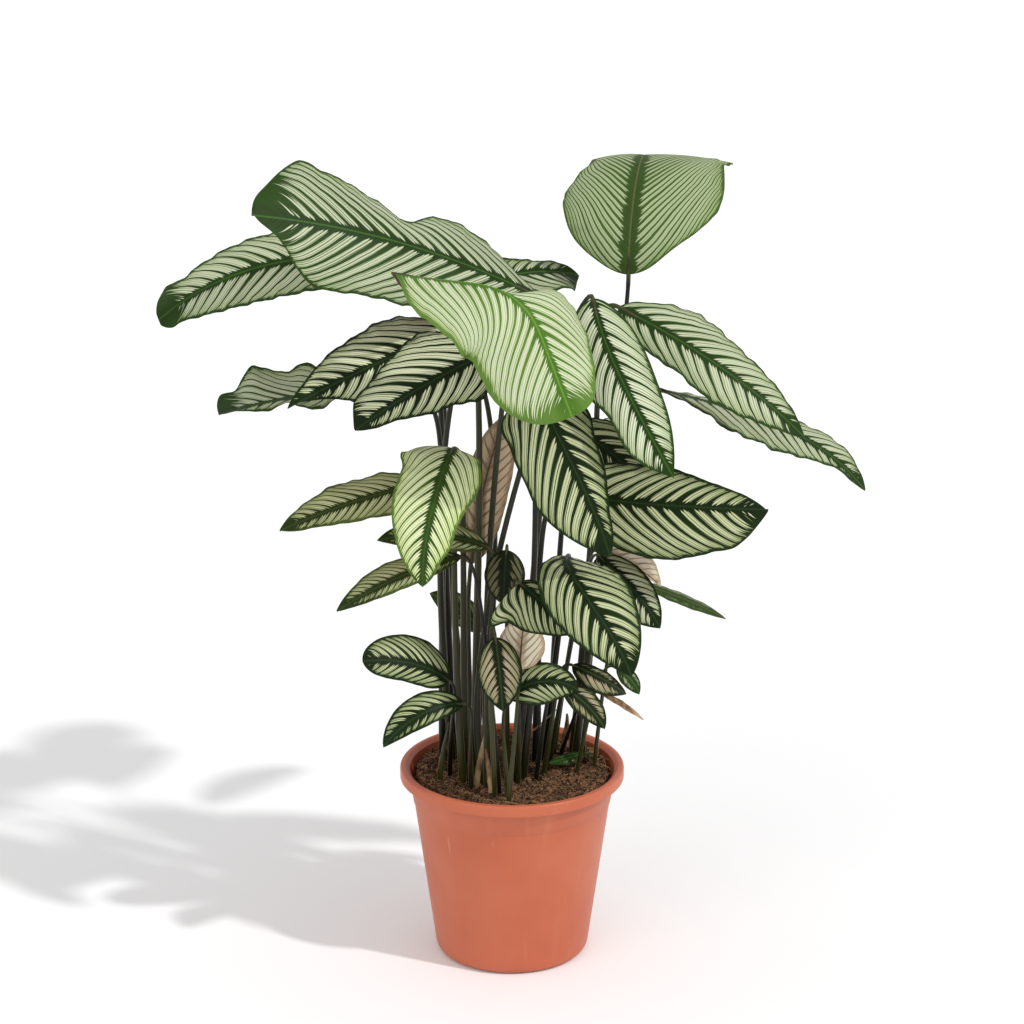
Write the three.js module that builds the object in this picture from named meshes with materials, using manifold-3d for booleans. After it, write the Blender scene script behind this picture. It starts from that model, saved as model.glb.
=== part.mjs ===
// A potted calathea: striped leaves on slim stalks, in the soil of a plastic nursery pot.
// Millimetres, +Z up. The origin is the centre of the pot's flat underside. Seen from the
// front, +X is to the right and +Y points away.

import * as THREE from "three";
import { mergeVertices } from "three/addons/utils/BufferGeometryUtils.js";
import Module from "manifold-3d";

// ---------------------------------------------------------------------------------------
// Driving dimensions
// ---------------------------------------------------------------------------------------

// Pot: a tapered tub with a turned-down rim.
const POT_HEIGHT = 185;
const POT_SEGMENTS = 40;
const RIM_RADIUS = 105;
const RIM_DROP = 11;
const RIM_ROUND = 3;
const MOUTH_RADIUS = 99.5;
const BASE_RADIUS = 71.8;
const BASE_ROUND = 9;
const WALL_TOP_RADIUS = 97.5;
const WALL = 1.6;
const FLOOR = 2.4;
const STEP_BELOW_RIM = 35;
const STEP_DEPTH = 0.7;
const STEP_HEIGHT = 1;
const CURVE_STEPS = 2;
const DRAIN_SLOTS = 8;
const DRAIN_SIZE = { length: 14, width: 3.5, height: 10, radius: 52 };

// Soil: fills the pot to a little under the rim, with a lumpy top.
const SOIL_LEVEL = 175;
const SOIL_RELIEF = 2.2;
const SOIL_WAVES = [
  { share: 0.7, x: [0.045, 1.3], y: [0.052, 1.17] },
  { share: 0.3, x: [0.16, -0.9], y: [0.14, 2.1] },
];
const SOIL_RINGS = [23, 46, 70];
const SOIL_SEGMENTS = 24;
const SOIL_SHOULDER = 11;
const CLEARANCE = 0.8;

// Stalks stand in plain holes in the soil.
const FOOT_DEPTH = 28;
const FOOT_TOP = SOIL_LEVEL + 6;
const HOLE_SIDES = 7;
const HOLE_CLEARANCE = 0.9;

// Stalks and blades. Rings lie closer together where a stalk bends, near its blade.
const RING_CROWDING = 1.6;
const BLADE_THICKNESS = 0.9;
const TIP_HALF_WIDTH = 1.2;
const RIB_STEPS = 24;

// Shoots: shares of the length where the rings lie, and how they thin towards the tip.
const SHOOT_SHARES = [0, 0.4, 0.75, 1];
const SHOOT_SIDES = 6;
const SHOOT_TAPER = 1.5;

// What leaves of each size have in common. Angles are in degrees. columns are the places
// across the blade, from its left edge (-1) to its right edge (1). bend is how far the
// stalk runs straight on from the blade, and arrival is the stalk's heading and pitch there
// if it isn't the blade's own. shoulder, peak and point shape the outline; droop sets how
// early the pitch changes, or turn between which shares of the length it does; keel is the
// fall of both halves. tuck folds one side down near the base: side, the shares between
// which it opens, and the angle. A nudge moves the edge out: side, share of the length, how
// far it spreads, and millimetres. The side is -1 for the left and 1 for the right.
const LARGE = {
  columns: [-1, -0.55, -0.09, 0, 0.09, 0.55, 1],
  bladeRings: 9,
  stalkRings: 5,
  stalkRadius: [3.2, 1.8],
  ribDepth: 2,
  bend: 40,
  arrival: null,
  curl: [20, 20],
  keel: 0,
  tuck: null,
  wave: [0, 0, 0],
  shoulder: 0.6,
  peak: 0.46,
  point: 0.85,
  droop: 1,
  turn: null,
  nudges: [],
};
const MEDIUM = { ...LARGE, columns: [-1, -0.5, 0, 0.5, 1], bladeRings: 8 };
const SMALL = {
  ...MEDIUM,
  bladeRings: 6,
  stalkRings: 4,
  stalkRadius: [2.1, 1.2],
  ribDepth: 1.2,
  bend: 16,
};
const TINY = {
  ...SMALL,
  columns: [-1, 0, 1],
  bladeRings: 5,
  stalkRadius: [1.8, 1],
  ribDepth: 0.6,
};

// Each leaf: where its stalk leaves the soil (foot), the point that pulls the stalk's curve
// (via), where the blade begins (base), and the blade's length. The pairs give a value at the
// blade's base and at its tip: heading (0 is right, 90 is away, 180 is left, 270 is towards
// the front), pitch (up is plus) and roll (towards the blade's right edge is plus). half and
// curl are the left and the right half of the blade; wave is height, waves and phase.
const LEAVES = [
  { ...LARGE, name: "left_high", foot: [-56, 48], via: [-70, 44, 560], base: [-96, 25, 657],
    length: 247, heading: [174, 170], pitch: [14, -42], roll: [-38, -44], half: [34, 38],
    curl: [30, 10], peak: 0.5, point: 0.6, nudges: [[1, 0.95, 0.06, 14],
      [-1, 0.98, 0.05, 6]] },
  { ...LARGE, name: "crown_left", foot: [7, 2], via: [26, 8, 560], base: [30, 2, 633],
    bladeRings: 14, length: 289, heading: [195, 202], pitch: [30, 10], roll: [-28, -62],
    half: [55, 64], curl: [12, 30], keel: 2, wave: [9, 2, 0.21], shoulder: 0.8, peak: 0.74,
    point: 0.5, nudges: [[1, 0.83, 0.04, 8], [1, 0.95, 0.05, -8], [1, 0.74, 0.05, -5],
      [1, 0.62, 0.09, -8], [1, 0.48, 0.06, -24], [1, 0.32, 0.08, 8], [1, 0.17, 0.08, 12],
      [-1, 0.93, 0.09, -23], [-1, 0.48, 0.14, 16]] },
  { ...MEDIUM, name: "crown_back", foot: [-40, 52], via: [-84, 68, 520], base: [-45, 40, 629],
    bend: 10, length: 129, heading: [28, 36], pitch: [20, -20], roll: [24, 34],
    half: [26, 34], curl: [25, 10], keel: -8, wave: [4, 2, 0.3],
    nudges: [[-1, 0.55, 0.16, -8], [-1, 0.25, 0.1, 6], [1, 0.85, 0.08, 8]] },
  { ...LARGE, name: "crown_front", foot: [-36, -2], via: [-20, 20, 780],
    base: [-103, -102, 684], arrival: [185, 50], bend: 110, stalkRings: 12, bladeRings: 14,
    length: 232, heading: [333, 343], pitch: [0, -68], turn: [0.3, 0.72], roll: [4, 56],
    half: [52, 66], curl: [45, 45], tuck: [-1, 0.32, 0.6, 84], wave: [2, 2, 0.2],
    shoulder: 0.65, peak: 0.55, point: 0.34, nudges: [[-1, 0.68, 0.13, 22],
      [1, 0.05, 0.07, -10], [1, 0.42, 0.1, 6], [1, 0.85, 0.1, 4]] },
  { ...LARGE, name: "front_right_high", foot: [-27, -24], via: [-60, 24, 310],
    base: [71, -66, 652], length: 178, heading: [285, 345], pitch: [-46, -60], roll: [25, 70],
    half: [32, 46], curl: [20, 35], keel: -4, point: 1, nudges: [[1, 0.58, 0.18, -18],
      [-1, 0.55, 0.22, -4]] },
  { ...LARGE, name: "right_high", foot: [58, 48], via: [92, 20, 560], base: [96, -8, 629],
    length: 209, heading: [322, 358], pitch: [-14, -46], roll: [26, 36], half: [36, 29],
    curl: [25, 35], nudges: [[-1, 0.28, 0.18, 17], [1, 0.4, 0.1, -4], [1, 0.6, 0.3, 4]] },
  { ...MEDIUM, name: "far_right", foot: [60, 32], via: [98, 40, 500], base: [135, 16, 545],
    length: 213, heading: [352, 352], pitch: [-12, -54], roll: [-6, 30], half: [30, 24],
    droop: 2.2, nudges: [[1, 0.34, 0.12, 10], [1, 0.55, 0.12, 8], [1, 0.84, 0.08, -5],
      [-1, 0.8, 0.14, 10]] },
  { ...LARGE, name: "upright_right", foot: [66, 42], via: [86, 56, 460], base: [106, 44, 646],
    length: 231, heading: [78, 84], pitch: [92, -60], roll: [0, 0], half: [72, 78],
    curl: [45, 14], keel: -5, wave: [3, 2.5, 0.6], point: 0.6, nudges: [[-1, 0.62, 0.1, -20],
      [-1, 0.3, 0.16, 5], [-1, 0.13, 0.1, 6], [1, 0.09, 0.08, -7], [1, 0.3, 0.14, 7],
      [1, 0.7, 0.08, 14]] },
  { ...LARGE, name: "left_upper", foot: [-57, 37], via: [-90, 26, 540], base: [-37, -24, 618],
    bend: 12, length: 186, heading: [210, 199], pitch: [-12, -24], roll: [-34, -44],
    half: [40, 31], curl: [35, 15], shoulder: 1, nudges: [[1, 0.34, 0.2, 14],
      [1, 0.66, 0.14, 5], [-1, 0.82, 0.2, -15]] },
  { ...LARGE, name: "left_front_upper", foot: [-24, 4], via: [-30, 26, 500],
    base: [-17, -62, 604], length: 146, heading: [218, 187], pitch: [-12, -36],
    roll: [-33, -45], half: [28, 46], curl: [35, 20], nudges: [[1, 0.26, 0.2, 15],
      [1, 0.9, 0.08, 9], [-1, 0.74, 0.16, -6], [-1, 0.22, 0.12, 13]] },
  { ...MEDIUM, name: "left_far", foot: [-66, 40], via: [-66, 36, 500], base: [-94, 14, 541],
    length: 175, heading: [188, 188], pitch: [8, -16], roll: [0, -8], half: [22, 44],
    curl: [10, -30], wave: [5, 3.5, 0], peak: 0.6, point: 0.5, nudges: [[1, 0.97, 0.05, 15],
      [1, 0.74, 0.14, 9], [-1, 0.85, 0.2, -9], [-1, 0.22, 0.14, 7]] },
  { ...LARGE, name: "centre_front", foot: [2, -16], via: [38, -36, 440], base: [22, -76, 575],
    length: 168, heading: [295, 360], pitch: [-44, -74], roll: [28, 80], half: [27, 50],
    curl: [20, 25], nudges: [[1, 0.1, 0.1, 14], [-1, 0.22, 0.14, 12], [-1, 0.75, 0.15, -6],
      [1, 0.45, 0.12, -4]] },
  { ...LARGE, name: "right_mid", foot: [11, -14], via: [32, -10, 420], base: [55, -32, 459],
    length: 180, heading: [336, 358], pitch: [0, 0], roll: [51, 54], half: [42, 48],
    curl: [15, 20], keel: -4, nudges: [[-1, 0.7, 0.25, -10], [-1, 0.14, 0.1, 8],
      [1, 0.86, 0.1, 8], [1, 0.6, 0.25, 3]] },
  { ...MEDIUM, name: "right_mid_back", foot: [22, 19], via: [30, 26, 470], base: [51, 6, 512],
    length: 98, heading: [347, 347], pitch: [-18, -60], roll: [44, 44], half: [30, 30] },
  { ...LARGE, name: "left_bright", foot: [-45, -10], via: [-44, -2, 480],
    base: [-52, -72, 516], length: 142, heading: [258, 225], pitch: [15, -92],
    roll: [-11, -40], half: [42, 36], curl: [20, 25], shoulder: 0.45, peak: 0.42, droop: 0.5,
    nudges: [[1, 0.1, 0.12, 19], [1, 0.45, 0.2, 3], [-1, 0.55, 0.25, -14],
      [-1, 0.03, 0.05, 8], [-1, 0.84, 0.08, -4]] },
  { ...MEDIUM, name: "left_mid", foot: [-46, -22], via: [-62, -16, 420],
    base: [-75, -34, 473], length: 144, heading: [205, 183], pitch: [-4, -25],
    roll: [-32, -40], half: [26, 24], wave: [2.5, 2.5, 0.2], nudges: [[-1, 0.65, 0.25, -8],
      [1, 0.82, 0.12, 4], [1, 0.45, 0.25, 5], [-1, 0.1, 0.1, 5]] },
  { ...SMALL, name: "left_tucked", foot: [-24, -38], via: [-26, -40, 360],
    base: [-21, -28, 408], length: 108, heading: [206, 180], pitch: [30, -14],
    roll: [-46, -50], half: [14, 18] },
  { ...SMALL, name: "left_low", foot: [-12, -46], via: [-26, -42, 360], base: [-46, -34, 402],
    length: 128, heading: [212, 187], pitch: [-2, -34], roll: [-36, -48], half: [12, 16],
    nudges: [[1, 0.6, 0.3, 5]] },
  { ...MEDIUM, name: "upright_mid", foot: [-38, 18], via: [-42, 16, 320],
    base: [-38, 10, 379], length: 152, heading: [340, 345], pitch: [84, 70], roll: [-60, -75],
    half: [30, 26], curl: [10, 10], keel: -8, nudges: [[-1, 0.45, 0.3, -6],
      [1, 0.5, 0.3, -8]] },
  { ...LARGE, name: "right_arching", foot: [30, 33], via: [50, 10, 380], base: [50, -58, 410],
    length: 166, heading: [262, 342], pitch: [12, -70], roll: [-8, 66], half: [40, 36],
    curl: [25, 25] },
  { ...SMALL, name: "right_low", foot: [36, 24], via: [66, 4, 370], base: [79, -28, 400],
    length: 93, heading: [300, 354], pitch: [-12, -64], roll: [27, 55], half: [20, 28] },
  { ...SMALL, name: "right_pale", foot: [40, 44], via: [64, 26, 370], base: [83, 4, 395],
    length: 67, heading: [5, 5], pitch: [-24, -44], roll: [-139, -135], half: [4, 20] },
  { ...TINY, name: "right_thin", foot: [78, 14], via: [92, 22, 330], base: [118, 26, 355],
    length: 88, heading: [355, 355], pitch: [-16, -28], roll: [10, 10], half: [14, 10] },
  { ...SMALL, name: "mid_front", foot: [6, -22], via: [8, -30, 380], base: [7, -68, 388],
    length: 70, heading: [322, 338], pitch: [-26, -44], roll: [26, 56], half: [16, 36],
    curl: [15, 35], shoulder: 0.35, nudges: [[1, 0.06, 0.13, 25], [1, 0.7, 0.3, -9]] },
  { ...SMALL, name: "mid_dark", foot: [-4, -4], via: [-6, -20, 400], base: [-5, -28, 406],
    length: 51, heading: [262, 262], pitch: [-50, -86], roll: [-5, -5], half: [19, 19] },
  { ...SMALL, name: "mid_pale", foot: [-3, -76], via: [4, -58, 250], base: [7, -46, 296],
    length: 57, heading: [300, 300], pitch: [84, 78], roll: [-30, -30], half: [22, 22] },
  { ...SMALL, name: "mid_striped", foot: [-16, -58], via: [-24, -54, 370],
    base: [-15, -66, 335], length: 68, heading: [285, 300], pitch: [-62, -86], roll: [14, 30],
    half: [21, 21] },
  { ...SMALL, name: "mid_low", foot: [-4, -54], via: [-8, -50, 230], base: [-3, -40, 266],
    length: 76, heading: [335, 390], pitch: [55, -45], roll: [69, 77], half: [18, 22] },
  { ...SMALL, name: "base_right", foot: [30, -8], via: [44, -14, 270], base: [56, -10, 287],
    length: 57, heading: [340, 352], pitch: [-14, -36], roll: [35, 39], half: [10, 16] },
  { ...SMALL, name: "base_pink", foot: [23, -17], via: [34, -26, 270], base: [47, -32, 274],
    length: 56, heading: [340, 354], pitch: [-25, -62], roll: [47, 58], half: [14, 12] },
  { ...TINY, name: "base_curled", foot: [62, 4], via: [78, 0, 268], base: [97, -12, 285],
    length: 33, heading: [343, 343], pitch: [-25, -70], roll: [38, 38], half: [9, 9] },
  { ...SMALL, name: "base_left_high", foot: [-58, -6], via: [-57, -30, 255],
    base: [-57, -42, 283], length: 93, heading: [213, 190], pitch: [44, -4], roll: [-63, -56],
    half: [26, 28], point: 0.5, nudges: [[-1, 0.5, 0.4, -8]] },
  { ...SMALL, name: "base_left_low", foot: [-38, -38], via: [-40, -44, 236],
    base: [-44, -60, 268], length: 92, heading: [218, 189], pitch: [16, -56],
    roll: [-49, -49], half: [12, 20] },
  { ...SMALL, name: "back_grey", foot: [-32, 66], via: [-30, 68, 250], base: [-28, 66, 292],
    length: 63, heading: [165, 168], pitch: [52, 16], roll: [-66, -60], half: [14, 14] },
  { ...TINY, name: "on_soil", foot: [73, 27], via: [77, 31, 184], base: [69, 24, 185],
    bend: 3, length: 42, heading: [214, 216], pitch: [0, 0], roll: [-25, -25], half: [7, 7] },
  { ...TINY, name: "withered", foot: [47, 40], via: [66, 6, 250], base: [80, -12, 262],
    length: 50, heading: [350, 350], pitch: [-20, -42], roll: [30, 30], half: [3, 4] },
  { ...TINY, name: "strip", foot: [-3, 15], via: [-2, 15, 190], base: [2, 14, 196], bend: 5,
    length: 58, heading: [350, 350], pitch: [45, 45], roll: [0, 0], half: [2, 3] },
  { ...MEDIUM, name: "behind_left", foot: [-26, 57], via: [-4, 68, 500], base: [-44, 78, 560],
    length: 150, heading: [125, 110], pitch: [20, -35], roll: [0, 0], half: [32, 32] },
  { ...MEDIUM, name: "behind_mid", foot: [24, 56], via: [26, 74, 500], base: [30, 90, 550],
    length: 150, heading: [80, 70], pitch: [30, -50], roll: [0, 0], half: [42, 42] },
  { ...MEDIUM, name: "behind_right", foot: [36, 60], via: [46, 74, 400], base: [64, 92, 462],
    length: 150, heading: [60, 40], pitch: [25, -35], roll: [0, 0], half: [30, 30] },
];

// Young shoot, cut stub and dry sheaths: a foot in the soil, a tip, the radius at each, and
// how flat the section is.
const SHOOTS = [
  { name: "shoot_spike", foot: [-67, -16], tip: [-60, -14, 232], radius: [3, 0.7], flat: 1 },
  { name: "shoot_stub", foot: [50, 58], tip: [52, 58, 212], radius: [3.4, 1], flat: 1 },
  { name: "sheath_dry_left", foot: [-33, -33], tip: [-24, -30, 232], radius: [3, 0.8],
    flat: 0.4 },
  { name: "sheath_dry_right", foot: [-19, -48], tip: [-25, -46, 218], radius: [3, 0.8],
    flat: 0.4 },
];

// ---------------------------------------------------------------------------------------
// Materials
// ---------------------------------------------------------------------------------------

const POT_MATERIAL = new THREE.MeshStandardMaterial({ color: 0xcd7051, roughness: 0.45 });
const SOIL_MATERIAL = new THREE.MeshStandardMaterial({ color: 0x4a3426, roughness: 1 });
const SHOOT_MATERIAL = new THREE.MeshStandardMaterial({ color: 0x8a6b4a, roughness: 0.7 });
const LEAF_MATERIAL = new THREE.MeshStandardMaterial({ color: 0x7f9a63, roughness: 0.5 });

// ---------------------------------------------------------------------------------------
// Helpers
// ---------------------------------------------------------------------------------------

const WELD_DISTANCE = 1e-3;

const wasm = await Module();
wasm.setup();

/** The value at share t between the two numbers of a pair. */
function between([start, end], t) {
  return start + (end - start) * t;
}

/** Degrees as radians. */
function radians(degrees) {
  return THREE.MathUtils.degToRad(degrees);
}

/** The unit vector with a heading and a pitch, in degrees. */
function direction(heading, pitch) {
  const level = Math.cos(radians(pitch));
  const x = level * Math.cos(radians(heading));
  const y = level * Math.sin(radians(heading));
  return new THREE.Vector3(x, y, Math.sin(radians(pitch)));
}

/** The triangles of an index whose three corners all differ. */
function withoutSlivers(index) {
  const kept = [];
  for (let i = 0; i < index.length; i += 3) {
    const [a, b, c] = index.slice(i, i + 3);
    if (a !== b && b !== c && c !== a) kept.push(a, b, c);
  }
  return kept;
}

/** A closed BufferGeometry as a solid that can be cut and joined. */
function toSolid(geometry) {
  const bare = geometry.clone();
  bare.deleteAttribute("normal");
  bare.deleteAttribute("uv");
  const merged = mergeVertices(bare, WELD_DISTANCE);
  return new wasm.Manifold(new wasm.Mesh({
    numProp: 3,
    vertProperties: new Float32Array(merged.attributes.position.array),
    triVerts: new Uint32Array(withoutSlivers(merged.index.array)),
  }));
}

/** A solid as a BufferGeometry. */
function toGeometry(solid) {
  const mesh = solid.getMesh();
  return indexedGeometry(mesh.vertProperties, Array.from(mesh.triVerts));
}

/** A BufferGeometry from flat lists of coordinates and corner numbers. */
function indexedGeometry(positions, index) {
  const geometry = new THREE.BufferGeometry();
  geometry.setAttribute("position", new THREE.Float32BufferAttribute(positions, 3));
  geometry.setIndex(index);
  geometry.computeVertexNormals();
  return geometry;
}

/** A mesh of one named piece. */
function piece(name, geometry, material) {
  const mesh = new THREE.Mesh(geometry, material);
  mesh.name = name;
  return mesh;
}

// ---------------------------------------------------------------------------------------
// Pot
// ---------------------------------------------------------------------------------------

/** The wall's outer radius at a height, with the small step under the rim. */
function wallRadius(z) {
  const taper = (WALL_TOP_RADIUS - BASE_RADIUS) / POT_HEIGHT;
  const step = z > POT_HEIGHT - STEP_BELOW_RIM ? STEP_DEPTH : 0;
  return BASE_RADIUS + taper * z - STEP_DEPTH + step;
}

/** The pot's wall, rim and floor as half a cross-section that starts and ends on the axis. */
function potProfile() {
  const top = POT_HEIGHT;
  const skirt = top - RIM_DROP;
  const step = top - STEP_BELOW_RIM;
  const under = top - 2 * WALL;
  const flat = wallRadius(0) - BASE_ROUND;
  const path = new THREE.Path();
  path.moveTo(0, 0);
  path.lineTo(flat, 0);
  path.quadraticCurveTo(wallRadius(0), 0, wallRadius(BASE_ROUND), BASE_ROUND);
  path.lineTo(wallRadius(step), step);
  path.lineTo(wallRadius(step + STEP_HEIGHT), step + STEP_HEIGHT);
  path.lineTo(wallRadius(top), under);
  path.lineTo(RIM_RADIUS - 2 * WALL, under);
  path.lineTo(RIM_RADIUS - WALL, under - WALL);
  path.lineTo(RIM_RADIUS - WALL, skirt);
  path.lineTo(RIM_RADIUS, skirt);
  path.lineTo(RIM_RADIUS, top - RIM_ROUND);
  path.quadraticCurveTo(RIM_RADIUS, top, RIM_RADIUS - RIM_ROUND, top);
  path.lineTo(MOUTH_RADIUS, top);
  path.lineTo(wallRadius(top) - WALL, under);
  path.lineTo(wallRadius(step) - WALL, step);
  path.lineTo(wallRadius(BASE_ROUND) - WALL, BASE_ROUND);
  path.lineTo(flat, FLOOR);
  path.lineTo(0, FLOOR);
  return path.getPoints(CURVE_STEPS);
}

/** The radial drain slots through the floor, as one solid to cut away. */
function drainSlots() {
  const { length, width, height, radius } = DRAIN_SIZE;
  const slots = [];
  for (let i = 0; i < DRAIN_SLOTS; i += 1) {
    const slot = new THREE.BoxGeometry(length, width, height);
    slot.translate(radius, 0, 0);
    slot.rotateZ((2 * Math.PI * (i + 0.5)) / DRAIN_SLOTS);
    slots.push(toSolid(slot));
  }
  return slots.reduce((all, slot) => all.add(slot));
}

/** The pot. */
function makePot() {
  const tub = new THREE.LatheGeometry(potProfile(), POT_SEGMENTS);
  tub.rotateX(Math.PI / 2);
  return piece("pot", toGeometry(toSolid(tub).subtract(drainSlots())), POT_MATERIAL);
}

// ---------------------------------------------------------------------------------------
// Soil
// ---------------------------------------------------------------------------------------

/** Height of the soil's lumpy top at a place. */
function soilHeight(x, y) {
  const waves = SOIL_WAVES.map(({ share, x: [ax, bx], y: [ay, by] }) => (
    share * Math.sin(ax * x + bx) * Math.sin(ay * y + by)
  ));
  return SOIL_LEVEL + SOIL_RELIEF * waves.reduce((sum, wave) => sum + wave);
}

/** The soil's radius at a height: a little inside the pot's wall, and never under the step. */
function soilRadius(z) {
  return wallRadius(Math.min(z, POT_HEIGHT - STEP_BELOW_RIM)) - WALL - CLEARANCE;
}

/** The soil before its holes: a lumpy top, a tapered side and a flat bottom. */
function soilBlock() {
  const bottom = FLOOR + CLEARANCE;
  const positions = [0, 0, soilHeight(0, 0)];
  const addRing = (radius, heightAt) => {
    for (let i = 0; i < SOIL_SEGMENTS; i += 1) {
      const angle = (2 * Math.PI * i) / SOIL_SEGMENTS;
      const [x, y] = [radius * Math.cos(angle), radius * Math.sin(angle)];
      positions.push(x, y, heightAt(x, y));
    }
  };
  [...SOIL_RINGS, soilRadius(SOIL_LEVEL)].forEach((radius) => addRing(radius, soilHeight));
  addRing(soilRadius(SOIL_SHOULDER), () => SOIL_SHOULDER);
  addRing(BASE_RADIUS - SOIL_SHOULDER, () => bottom);
  positions.push(0, 0, bottom);
  return closedRings(positions, SOIL_RINGS.length + 3, SOIL_SEGMENTS);
}

/** Triangles over a pole, a stack of rings round it and a second pole. */
function closedRings(positions, ringCount, segments) {
  const index = [];
  const at = (ring, i) => 1 + ring * segments + (i % segments);
  const last = 1 + ringCount * segments;
  for (let i = 0; i < segments; i += 1) {
    index.push(0, at(0, i), at(0, i + 1));
    index.push(last, at(ringCount - 1, i + 1), at(ringCount - 1, i));
    for (let ring = 0; ring < ringCount - 1; ring += 1) {
      index.push(at(ring, i), at(ring + 1, i), at(ring + 1, i + 1));
      index.push(at(ring, i), at(ring + 1, i + 1), at(ring, i + 1));
    }
  }
  return indexedGeometry(positions, index);
}

/** The plain hole that a stalk or shoot stands in. */
function footHole([x, y], footRadius) {
  const radius = footRadius + HOLE_CLEARANCE;
  const depth = FOOT_DEPTH + HOLE_CLEARANCE;
  const hole = new THREE.CylinderGeometry(radius, radius, 2 * depth, HOLE_SIDES);
  hole.rotateX(Math.PI / 2);
  hole.translate(x, y, SOIL_LEVEL);
  return toSolid(hole);
}

/** The soil, with a hole for every stalk and shoot. */
function makeSoil() {
  const holes = [
    ...LEAVES.map((leaf) => footHole(leaf.foot, leaf.stalkRadius[0])),
    ...SHOOTS.map((shoot) => footHole(shoot.foot, shoot.radius[0])),
  ];
  const soil = holes.reduce((rest, hole) => rest.subtract(hole), toSolid(soilBlock()));
  return piece("soil", toGeometry(soil), SOIL_MATERIAL);
}

// ---------------------------------------------------------------------------------------
// Leaves
// ---------------------------------------------------------------------------------------

/** Direction of the rib (t), upper face (n) and right edge (s) at share u of the blade. */
function bladeFrame(leaf, u) {
  const heading = between(leaf.heading, u);
  const sunk = leaf.turn ? THREE.MathUtils.smoothstep(u, ...leaf.turn) : u ** leaf.droop;
  const pitch = between(leaf.pitch, sunk);
  const t = direction(heading, pitch);
  const n = direction(heading, pitch + 90).applyAxisAngle(t, radians(between(leaf.roll, u)));
  return { t, n, s: new THREE.Vector3().crossVectors(t, n) };
}

/** Share of the blade's full half width at share u of its length: round base, pointed tip. */
function widthShare(leaf, u) {
  if (u < leaf.peak) return (1 - (1 - u / leaf.peak) ** 2) ** leaf.shoulder;
  const past = (u - leaf.peak) / (1 - leaf.peak);
  return (1 - past ** 2) ** leaf.point;
}

/** Half width in millimetres at share u on one side, with that edge's nudges. */
function halfWidth(leaf, u, sign) {
  const half = leaf.half[sign < 0 ? 0 : 1];
  const moved = leaf.nudges
    .filter(([side]) => side === sign)
    .map(([, at, spread, out]) => out * Math.exp(-(((u - at) / spread) ** 2)))
    .reduce((sum, out) => sum + out, 0);
  return Math.max(half * widthShare(leaf, u) + moved, TIP_HALF_WIDTH);
}

/** Fall of one side at the rib, in radians, at share u of the blade. */
function leanAngle(leaf, u, sign) {
  if (!leaf.tuck || leaf.tuck[0] !== sign) return radians(leaf.keel);
  const [, from, to, angle] = leaf.tuck;
  return radians(leaf.keel + angle * (1 - THREE.MathUtils.smoothstep(u, from, to)));
}

/** Shares of the blade's length where its rings lie, closer together at base and tip. */
function ringShares(count) {
  const turns = Array.from({ length: count }, (_, i) => (Math.PI * (i + 1)) / count);
  return turns.map((turn) => (1 - Math.cos(turn)) / 2);
}

/** Points along the rib, found by stepping along its changing direction. */
function ribPoints(leaf, shares) {
  const here = new THREE.Vector3(...leaf.base);
  let from = 0;
  return shares.map((share) => {
    const step = (share - from) / RIB_STEPS;
    for (let i = 0; i < RIB_STEPS; i += 1) {
      here.addScaledVector(bladeFrame(leaf, from + step * (i + 0.5)).t, leaf.length * step);
    }
    from = share;
    return here.clone();
  });
}

/** One point of the blade's middle surface and the surface normal there. */
function bladePoint(leaf, centre, frame, u, v) {
  const side = v < 0 ? 0 : 1;
  const sign = v < 0 ? -1 : 1;
  const out = Math.sign(v);
  const half = halfWidth(leaf, u, sign);
  const width = half / leaf.half[side];
  const lean = leanAngle(leaf, u, sign);
  const reach = half * Math.abs(v);
  const turned = radians(leaf.curl[side]) * width * Math.abs(v);
  const chord = turned === 0 ? reach : (reach * Math.sin(turned / 2)) / (turned / 2);
  const fall = lean + turned / 2;
  const [height, waves, phase] = leaf.wave;
  const wave = height * v * v * width * Math.sin(2 * Math.PI * (waves * u + phase + side / 2));
  const point = centre.clone().addScaledVector(frame.s, out * chord * Math.cos(fall));
  point.addScaledVector(frame.n, wave - chord * Math.sin(fall));
  const slope = Math.abs(out) * (lean + turned);
  const normal = frame.n.clone().multiplyScalar(Math.cos(slope));
  normal.addScaledVector(frame.s, out * Math.sin(slope));
  return { point, normal };
}

/** The closed loop round the blade at share u: the upper face left to right, then back. */
function bladeLoop(leaf, centre, u) {
  const frame = bladeFrame(leaf, u);
  const upper = [];
  const lower = [];
  leaf.columns.forEach((v) => {
    const { point, normal } = bladePoint(leaf, centre, frame, u, v);
    const rib = v === 0 ? leaf.ribDepth * (1 - u) : 0;
    upper.push(point.clone().addScaledVector(normal, BLADE_THICKNESS / 2));
    lower.unshift(point.addScaledVector(normal, -BLADE_THICKNESS / 2 - rib));
  });
  return [...upper, ...lower];
}

/** The closed loop of a stalk, in the same order as a blade's loop. n and s are its radii. */
function stalkLoop(count, centre, n, s) {
  return Array.from({ length: count }, (_, i) => {
    const angle = Math.PI - (2 * Math.PI * (i + 0.5)) / count;
    const point = centre.clone().addScaledVector(s, Math.cos(angle));
    return point.addScaledVector(n, Math.sin(angle));
  });
}

/** The stalk's curve from the soil to the blade. */
function stalkCurve(leaf) {
  const base = new THREE.Vector3(...leaf.base);
  const along = leaf.arrival ? direction(...leaf.arrival) : bladeFrame(leaf, 0).t;
  const foot = new THREE.Vector3(...leaf.foot, FOOT_TOP);
  const before = base.clone().addScaledVector(along, -leaf.bend);
  return new THREE.CubicBezierCurve3(foot, new THREE.Vector3(...leaf.via), before, base);
}

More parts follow.
